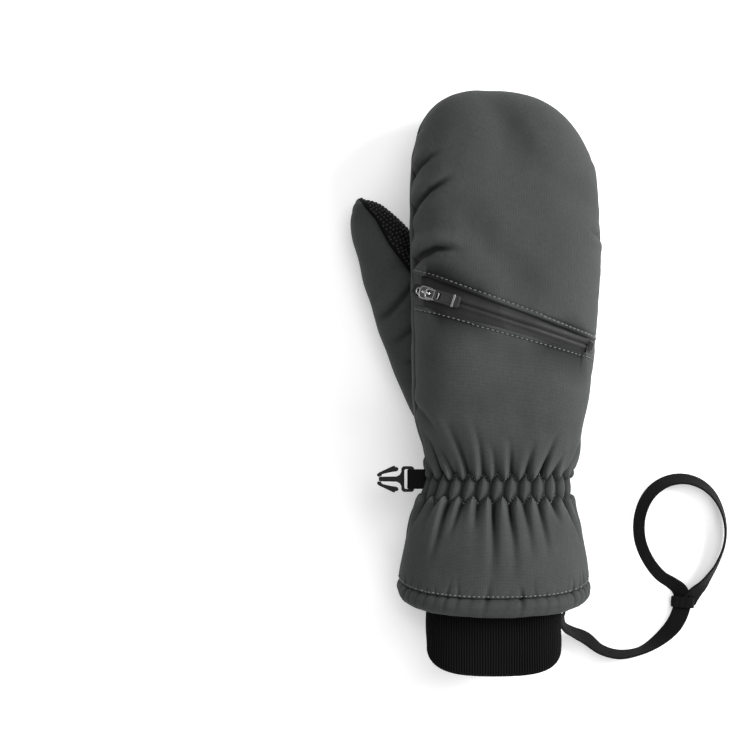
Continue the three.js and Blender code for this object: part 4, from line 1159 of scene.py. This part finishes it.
def grip_dots(name, face, normal, body):
    """Small raised dots in a wavy square grid on a patch."""
    columns = face.shape[1]
    across, along = steps(face, 1), steps(face, 0)
    off = across - across[:, columns // 2][:, None]
    up = along[:, columns // 2][:, None] + 0 * off
    off = off + DOT_WAVE * np.sin(up / 9.0) + 0.6 * DOT_WAVE * np.sin(up / 4.3 + off / 14)
    up = up + 0.8 * DOT_WAVE * np.sin(off / 11.0 + up / 23)
    clear = edge_distance(face, ALL_EDGES) > DOT_CLEAR
    if body == "hand":
        beside_thumb = thumb_gap(face[..., 0], face[..., 1])
        clear &= (beside_thumb < DOT_GAP[0]) | (beside_thumb > DOT_GAP[1])
    cells = np.stack([off, up]) / DOT_PITCH
    error = np.hypot(*(cells - np.round(cells)))
    keys = np.round(cells[0]).astype(int) * 4096 + np.round(cells[1]).astype(int)
    best = {}  # the grid point nearest to each dot's middle
    for index in np.flatnonzero(clear.ravel()):
        key = int(keys.flat[index])
        if key not in best or error.flat[index] < error.flat[best[key]]:
            best[key] = index
    points, faces = [], []
    for index in sorted(best.values()):
        if error.flat[index] > 0.35:
            continue
        centre, out = face.reshape(-1, 3)[index], normal.reshape(-1, 3)[index]
        side = unit(np.cross(out, [0.3, 1, 0.2]))
        faces += stack_faces(len(DOT_RINGS), 6, start=6 * len(points))
        points += [ring_points(centre + out * (height - DOT_SINK), side, np.cross(out, side), radius)
                   for radius, height in DOT_RINGS]
    points = np.concatenate(points)
    points[:, 2] = np.maximum(points[:, 2], DOT_FLOOR)
    dress(to_object(name, points, faces, smooth_angle=80), DOTS, body)


grip_dots("grip_dots_fingertips", *palm_faces["grip_fingertips"], "hand")
grip_dots("grip_dots_palm", *palm_faces["grip_palm"], "hand")
grip_dots("grip_dots_thumb", *thumb_grip_face, "thumb")

# ---- The zip ----

STOP_COVER = (2.3, 3.2)  # how far from the zip's line the tape is raised over a stop
STOP_MIDDLE, STOP_END = -1.2, (51.6, 52.6)  # the zip's middle, and where the raised tape ends each way from it


def zip_tape(word, lines, edge, offsets):
    """A tape from under the cloth's fold to the zip's line, raised over the stops."""
    grid, _, _ = half_grid(*lines, 22, 260, offsets=offsets)
    x, y, z = np.moveaxis(grid, -1, 0)
    arc = zip_height(x, y)
    sunk = np.minimum(z - 1.5 - np.clip(z - arc - LIP_ABOVE, 0, LIP_DROP), arc)
    off_line = np.abs((y - ZIP_Y) * math.cos(ZIP_ANGLE) - x * math.sin(ZIP_ANGLE))
    stops = over_stops(x, y)
    cover = stops * (1 - ramp(off_line, *STOP_COVER)) * (1 - ramp(np.abs(zip_place(x, y) - STOP_MIDDLE), *STOP_END))
    grid[..., 2] = sunk + cover * np.maximum(arc - 0.35 - sunk, 0)
    away = edge_distance(grid, [edge])
    relief = (0.3 * bell(away, 1.1, 1.6) + groove(away, 0.3, 0.3)) * (1 - stops)
    relief = relief + 0.08 * ripple(x, y, 12, 51) - 0.1
    piece, _, _ = panel(f"zip_tape_{word}_coated", grid, relief, thick=0.8)
    dress(piece, TAPE, "hand", [f"zip_tape_{word}"])


ZIP_LINE = [(x, ZIP_Y + x * math.tan(ZIP_ANGLE)) for x in (-140, 140)]
zip_tape("upper", (ZIP_LINE, ZIP_UPPER_EDGE), "low", (0.03, 3.0))
zip_tape("lower", (ZIP_LOWER_EDGE, ZIP_LINE), "high", (-3.0, -0.03))

# ---- Stitches ----

STITCH_SINK = 0.05
# along the stitch, its thickness and how far it is pulled in
STITCH_RINGS = ((-0.5, 0.35, -0.75), (-0.3, 1.0, 0.0), (0.3, 1.0, 0.0), (0.5, 0.35, -0.75))


def stitches(name, path, normals, thread=THREAD, pitch=2.6, long=1.75, radius=0.3):
    """A row of thread stitches along a path on a surface."""
    length = running_length(path)
    count = max(2, int(length[-1] / pitch))
    points, faces = [], []
    for at in (np.arange(count) + 0.5) * length[-1] / count:
        start, end = (read_along(length, path, at + half * long) for half in (-0.5, 0.5))
        normal = unit(read_along(length, normals, at))
        forward = unit(end - start)
        faces += stack_faces(len(STITCH_RINGS), 6, start=6 * len(points))
        for share, size, drop in STITCH_RINGS:
            lift = radius * (0.4 + drop) - STITCH_SINK
            centre = (start + end) / 2 + forward * share * long + normal * lift
            points.append(ring_points(centre, np.cross(normal, forward), normal, radius * size))
    piece = to_object(name, np.concatenate(points), faces, smooth_angle=80)
    dress(piece, thread, "hand")


def line_on_panel(face, normal, from_high, distance):
    """A line of points on a panel, an even distance from its low or high edge."""
    along = steps(face, 0)
    measure = along[-1:] - along if from_high else along
    row = np.argmin(np.abs(measure - distance), axis=0)[4:-4]
    columns = np.arange(4, face.shape[1] - 4)
    return face[row, columns], normal[row, columns]


heel_face = palm_faces["shell_palm_heel"]
stitches("stitch_zip_upper", *line_on_panel(*upper_face, False, 2.5))
stitches("stitch_zip_lower", *line_on_panel(*lower_face, True, 2.5))
stitches("stitch_hem_back", *line_on_panel(*lower_face, False, 1.0), pitch=2.5, long=1.7, radius=0.34)
stitches("stitch_hem_palm", *line_on_panel(*heel_face, False, 1.0), pitch=2.5, long=1.7, radius=0.34)


def zigzag_stitches(name, face, normal, rho, angles, bubbles, sign):
    """The elastic's zigzag stitching, along the points of the bubbles."""
    q = np.arange(bubbles[0] * 2 + 1, bubbles[1] * 2) / 2
    q = np.sort(np.concatenate([q, q[:-1] + 0.25]))
    height = BAND_Y + sign * BAND_HALF * (ZIGZAG_TOP - ZIGZAG_DROP * np.abs(q - np.round(q)))
    columns = np.searchsorted(np.linspace(*angles, face.shape[1]), np.interp(q, ring_count, ring_angle))
    columns = np.clip(columns, 0, face.shape[1] - 1)
    rows = np.argmin(np.abs(rho[:, columns] - height), axis=0)
    stitches(name, face[rows, columns], normal[rows, columns], DARK_THREAD, pitch=1.9, long=1.5)


half_turn = int(np.interp(math.pi, ring_angle, ring_count))
for sign, word in ((1, "high"), (-1, "low")):
    zigzag_stitches(f"stitch_wrist_{word}_back", *lower_face, lower_rho, (0, math.pi), (0, half_turn), sign)
    zigzag_stitches(f"stitch_wrist_{word}_palm", *heel_face, heel_rho, (math.pi, 2 * math.pi),
                    (half_turn + 1, BUBBLES), sign)

# ---- Small hard parts ----


def slider_place():
    """The slider's own axes: along the zip, across it and up."""
    turn = (SLIDER_AT - ZIP_CENTRE[0]) / ZIP_RADIUS
    run = ZIP_CENTRE[0] + ZIP_RADIUS * math.sin(turn)
    x = run * math.cos(ZIP_ANGLE) - ORIGIN_X
    y = ZIP_Y + run * math.sin(ZIP_ANGLE)
    z = ZIP_CENTRE[1] + ZIP_RADIUS * math.cos(turn)
    move = Matrix.Translation(Vector((x, y, z)) * MM)
    return move @ Matrix.Rotation(ZIP_ANGLE, 4, "Z") @ Matrix.Rotation(turn, 4, "Y")


def rounded_outline(x0, x1, half, corner, steps_per=6, middle=0.0):
    points = []
    for cx, cy, start in ((x1 - corner, half - corner, 0), (x0 + corner, half - corner, 90),
                          (x0 + corner, corner - half, 180), (x1 - corner, corner - half, 270)):
        for s in range(steps_per + 1):
            turn = math.radians(start + 90 * s / steps_per)
            points.append((cx + corner * math.cos(turn), middle + cy + corner * math.sin(turn)))
    return points


def prism(name, outline, z0, z1, bevel, place, hole=None):
    """A plate of an outline with rounded edges, with or without a hole."""
    edit = bmesh.new()
    loops = [outline] + ([hole[::-1]] if hole else [])
    rings = [[[edit.verts.new((x * MM, y * MM, z * MM)) for x, y in loop] for z in (z0, z1)] for loop in loops]
    for low, high in rings:
        for k in range(len(low)):
            n = (k + 1) % len(low)
            edit.faces.new((low[k], low[n], high[n], high[k]))
    for level in (0, 1):
        if hole:
            edges = [edit.edges.get((a, b)) for ring in rings
                     for a, b in zip(ring[level], ring[level][1:] + ring[level][:1])]
            bmesh.ops.triangle_fill(edit, use_beauty=True, use_dissolve=True, edges=edges)
        else:
            edit.faces.new(rings[0][level])
    piece = from_edit(name, edit, bpy.data.meshes.new(name), 40, place)
    if bevel:
        modifier = piece.modifiers.new("edges", "BEVEL")
        modifier.width = bevel * MM
        modifier.segments = 3
        modifier.limit_method = "ANGLE"
        modifier.angle_limit = math.radians(40)
    return piece


def tube(name, path, radius, place, closed=True, sides=12):
    """A round wire along a path of points."""
    path = np.asarray(path, float)
    tangent = unit(np.roll(path, -1, 0) - np.roll(path, 1, 0) if closed else np.gradient(path, axis=0))
    reference = np.array([0.0, 1.0, 0.0]) if abs(tangent[:, 1]).mean() < 0.5 else np.array([0.0, 0.0, 1.0])
    side = unit(np.cross(tangent, reference))
    other = np.cross(tangent, side)
    grid = np.stack([ring_points(p, s, o, radius, sides) for p, s, o in zip(path, side, other)])
    if closed:
        faces = grid_faces(len(path), sides, wrap_rows=True, wrap_columns=True)
    else:
        faces = stack_faces(len(path), sides)
    piece = to_object(name, grid + [ORIGIN_X, 0, 0], faces, smooth_angle=60)
    piece.data.transform(place)
    return piece


def ring_path(x0, x1, half, corner, z, count=8):
    return [(x, y, z) for x, y in rounded_outline(x0, x1, half, corner, count)]


AT_SLIDER = slider_place()
dress(prism("slider_plate", rounded_outline(-4.5, 4.5, 3.5, 2.4), 0.4, 1.55, 0.3, AT_SLIDER), METAL,
      "slider", ["zip_slider"])
for name, outline, low, high, bevel in (
        ("slider_under_plate", rounded_outline(-3.7, 3.7, 2.6, 1.4), -3.7, -3.0, 0.15),
        ("slider_keel", rounded_outline(-2.6, 2.6, 0.35, 0.3, 2), -3.3, 0.7, 0)):
    dress(prism(name, outline, low, high, bevel, AT_SLIDER), METAL, "slider")
crown = [(-2.5 * math.cos(t), 0, 1.2 + 2.55 * math.sin(t)) for t in np.linspace(0, math.pi, 17)]
for name, path, radius, closed in (
        ("slider_rim", ring_path(-4.0, 4.0, 3.0, 2.2, 1.5), 0.42, True),
        ("slider_crown", crown, 0.72, False),
        ("slider_nose_ring", ring_path(-6.0, -3.2, 1.5, 1.3, 1.0, 6), 0.42, True)):
    dress(tube(name, path, radius, AT_SLIDER, closed), BRIGHT, "slider")

PULL_Z = 2.65
loop = tube("pull_loop_wire", ring_path(-0.1, 7.0, 2.3, 1.6, PULL_Z), 0.58, AT_SLIDER)
tab = prism("pull_tab_body", rounded_outline(4.9, 19.1, 3.1, 1.3), PULL_Z - 0.9, PULL_Z + 0.9, 0.35, AT_SLIDER,
            hole=rounded_outline(5.9, 8.3, 1.75, 0.8))
ridge = tube("pull_tab_ridge", ring_path(9.3, 14.2, 2.0, 0.7, PULL_Z + 0.86, 4), 0.22, AT_SLIDER)
crimp = prism("pull_tab_crimp", rounded_outline(15.3, 16.5, 3.35, 0.3, 3), PULL_Z - 1.5, PULL_Z + 1.5, 0.2,
              AT_SLIDER)
dress(loop, BRIGHT, "pull", ["zip_pull_loop"])
dress(tab, RUBBER, "pull", ["zip_pull_tab"])
dress(ridge, RUBBER, "pull")
dress(crimp, BRIGHT, "pull", ["zip_pull_clip"])

# ---- The clip: a slotted frame on its webbing, a middle stem and two barbs ----

AT_HAND = Matrix.Translation(Vector((-ORIGIN_X, 0, 0)) * MM)
CLIP_HALF_THICK = 1.6
CLIP_FRONT, CLIP_BACK = CLIP_BAR_X - 5.6, CLIP_BAR_X + 1.25
STEM = [(CLIP_FRONT + 0.8, 4.2), (CLIP_FRONT - 0.1, 3.6), (CLIP_FRONT - 0.9, 2.2), (CLIP_FRONT - 2.6, 1.35),
        (CLIP_TIP_X + 2.0, 1.2), (CLIP_TIP_X + 1.0, 1.2), (CLIP_TIP_X + 0.4, 0.9)]
BARB = [(-66.2, 1.45), (-67.3, 1.3), (-67.9, 1.9), (-67.6, 2.8), (-66.6, 3.5), (-62.8, 5.3), (-59.2, 7.0),
        (-58.4, 7.1), (-58.2, 6.4), (-57.0, 6.3), (-56.4, 5.6), (-56.6, 4.7), (-57.6, 4.1), (-60.0, 3.8),
        (-62.3, 3.3), (-64.8, 2.7), (-65.5, 2.1), (-65.4, 1.6)]


def clip_plate(name, outline, inset, bevel, body, stands_for=(), hole=None):
    """A part of the clip, thinner than its frame by inset on each face."""
    half = CLIP_HALF_THICK - inset
    dress(prism(name, outline, CLIP_Z - half, CLIP_Z + half, bevel, AT_HAND, hole), PLASTIC, body,
          stands_for)


clip_plate("clip_frame_ring", rounded_outline(CLIP_FRONT, CLIP_BACK, 6.8, 1.7, middle=CLIP_Y), 0, 0.45, "clip",
           ["clip_frame"], rounded_outline(CLIP_FRONT + 1.6, CLIP_BACK - 2.2, 5.3, 0.9, middle=CLIP_Y))
clip_plate("clip_stem", [(x, CLIP_Y + y) for x, y in STEM + [(x, -y) for x, y in STEM[::-1]]], 0.15, 0.35, "clip")
for side, word in ((1, "upper"), (-1, "lower")):
    clip_plate(f"clip_{word}_barb", [(x, CLIP_Y + side * y) for x, y in BARB], 0.1, 0.4, f"barb_{word}",
               [f"clip_barb_{word}"])


def folded_tape(name, node, turn_x, end_x, inner, middle_y, width, z):
    """Webbing folded round a bar, both ends running into the cloth."""
    path = [(end_x, inner), (turn_x + 2, inner)]
    path += [(turn_x - inner * math.sin(t), inner * math.cos(t)) for t in np.linspace(0, math.pi, 15)]
    path += [(turn_x + 2, -inner), (end_x, -inner)]
    line, _ = spline([[x, middle_y, z + h] for x, h in path], 60)
    across = np.array([0.0, 1.0, 0.0])
    normal = np.cross(unit(np.gradient(line, axis=0)), across)
    dress(strap(name, line, across, normal, width, 1.1, 45), WEBBING, "hand", [node])


folded_tape("clip_webbing_fold", "clip_webbing", CLIP_BAR_X, -41.5, 1.95, CLIP_Y, 10.3, CLIP_Z)
folded_tape("leash_anchor_tab", "leash_anchor", 26.0, 33.0, 0.75, -162.5, 8.5, 18.6)

# ---- What lies inside: the CAD's own solids ----

INSIDE = {
    "wrist_elastic": ELASTIC,
    "insulation_hand": WADDING,
    "insulation_thumb": WADDING,
    "membrane_insert": FILM,
    "fleece_lining": LINER,
    "thumb_lining": LINER,
    "zip_coil_upper": PLASTIC,
    "zip_coil_lower": PLASTIC,
    "zip_stop_start": COATED,
    "zip_stop_end": COATED,
    "pocket_bag": BAG,
}
for node, material in INSIDE.items():
    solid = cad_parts[node]
    if not solid.material_slots:
        solid.data.materials.append(material)
    for slot in solid.material_slots:
        slot.material = material

# ---- Floor and light ----

FLOOR_HALF = 3.0
FLOOR_DROP = 0.0004


def stage_floor():
    mesh = bpy.data.meshes.new("floor")
    corners = [(x * FLOOR_HALF, y * FLOOR_HALF, 0) for x, y in ((-1, -1), (1, -1), (1, 1), (-1, 1))]
    mesh.from_pydata(corners, [], [(0, 1, 2, 3)])
    floor = bpy.data.objects.new("floor", mesh)
    floor.location = (0, 0, -FLOOR_DROP)
    bpy.context.scene.collection.objects.link(floor)
    n = Nodes("pale_floor")
    fine = n.noise(n.place(False), 4, 3)
    colour = n.mix(fine, (0.90, 0.90, 0.90), (0.93, 0.93, 0.93))
    n.tree.links.new(colour, n.shader.inputs["Emission Color"])
    n.shader.inputs["Emission Strength"].default_value = 0.3
    mesh.materials.append(n.finish(colour, n.sum((0.75, 1), (fine, 0.1))))


def area_light(name, place, target, size, power):
    data = bpy.data.lights.new(name, "AREA")
    data.shape = "DISK"
    data.size = size
    data.energy = power
    light = bpy.data.objects.new(name, data)
    light.location = place
    light.rotation_euler = (Vector(target) - Vector(place)).to_track_quat("-Z", "Y").to_euler()
    bpy.context.scene.collection.objects.link(light)


stage_floor()
scene = bpy.context.scene
scene.view_settings.view_transform = "Standard"
scene.world = bpy.data.worlds.new("studio")
scene.world.use_nodes = True
background = scene.world.node_tree.nodes["Background"]
background.inputs["Color"].default_value = (1.0, 1.0, 1.0, 1.0)
background.inputs["Strength"].default_value = 0.5
area_light("key", (0.95, 0.30, 0.62), (0, -0.03, 0.03), 0.6, 19)
area_light("top", (0.15, 0.45, 1.3), (0, -0.03, 0.03), 1.0, 7)
area_light("foot", (0.45, -0.95, 0.6), (0, -0.05, 0.03), 0.5, 4)
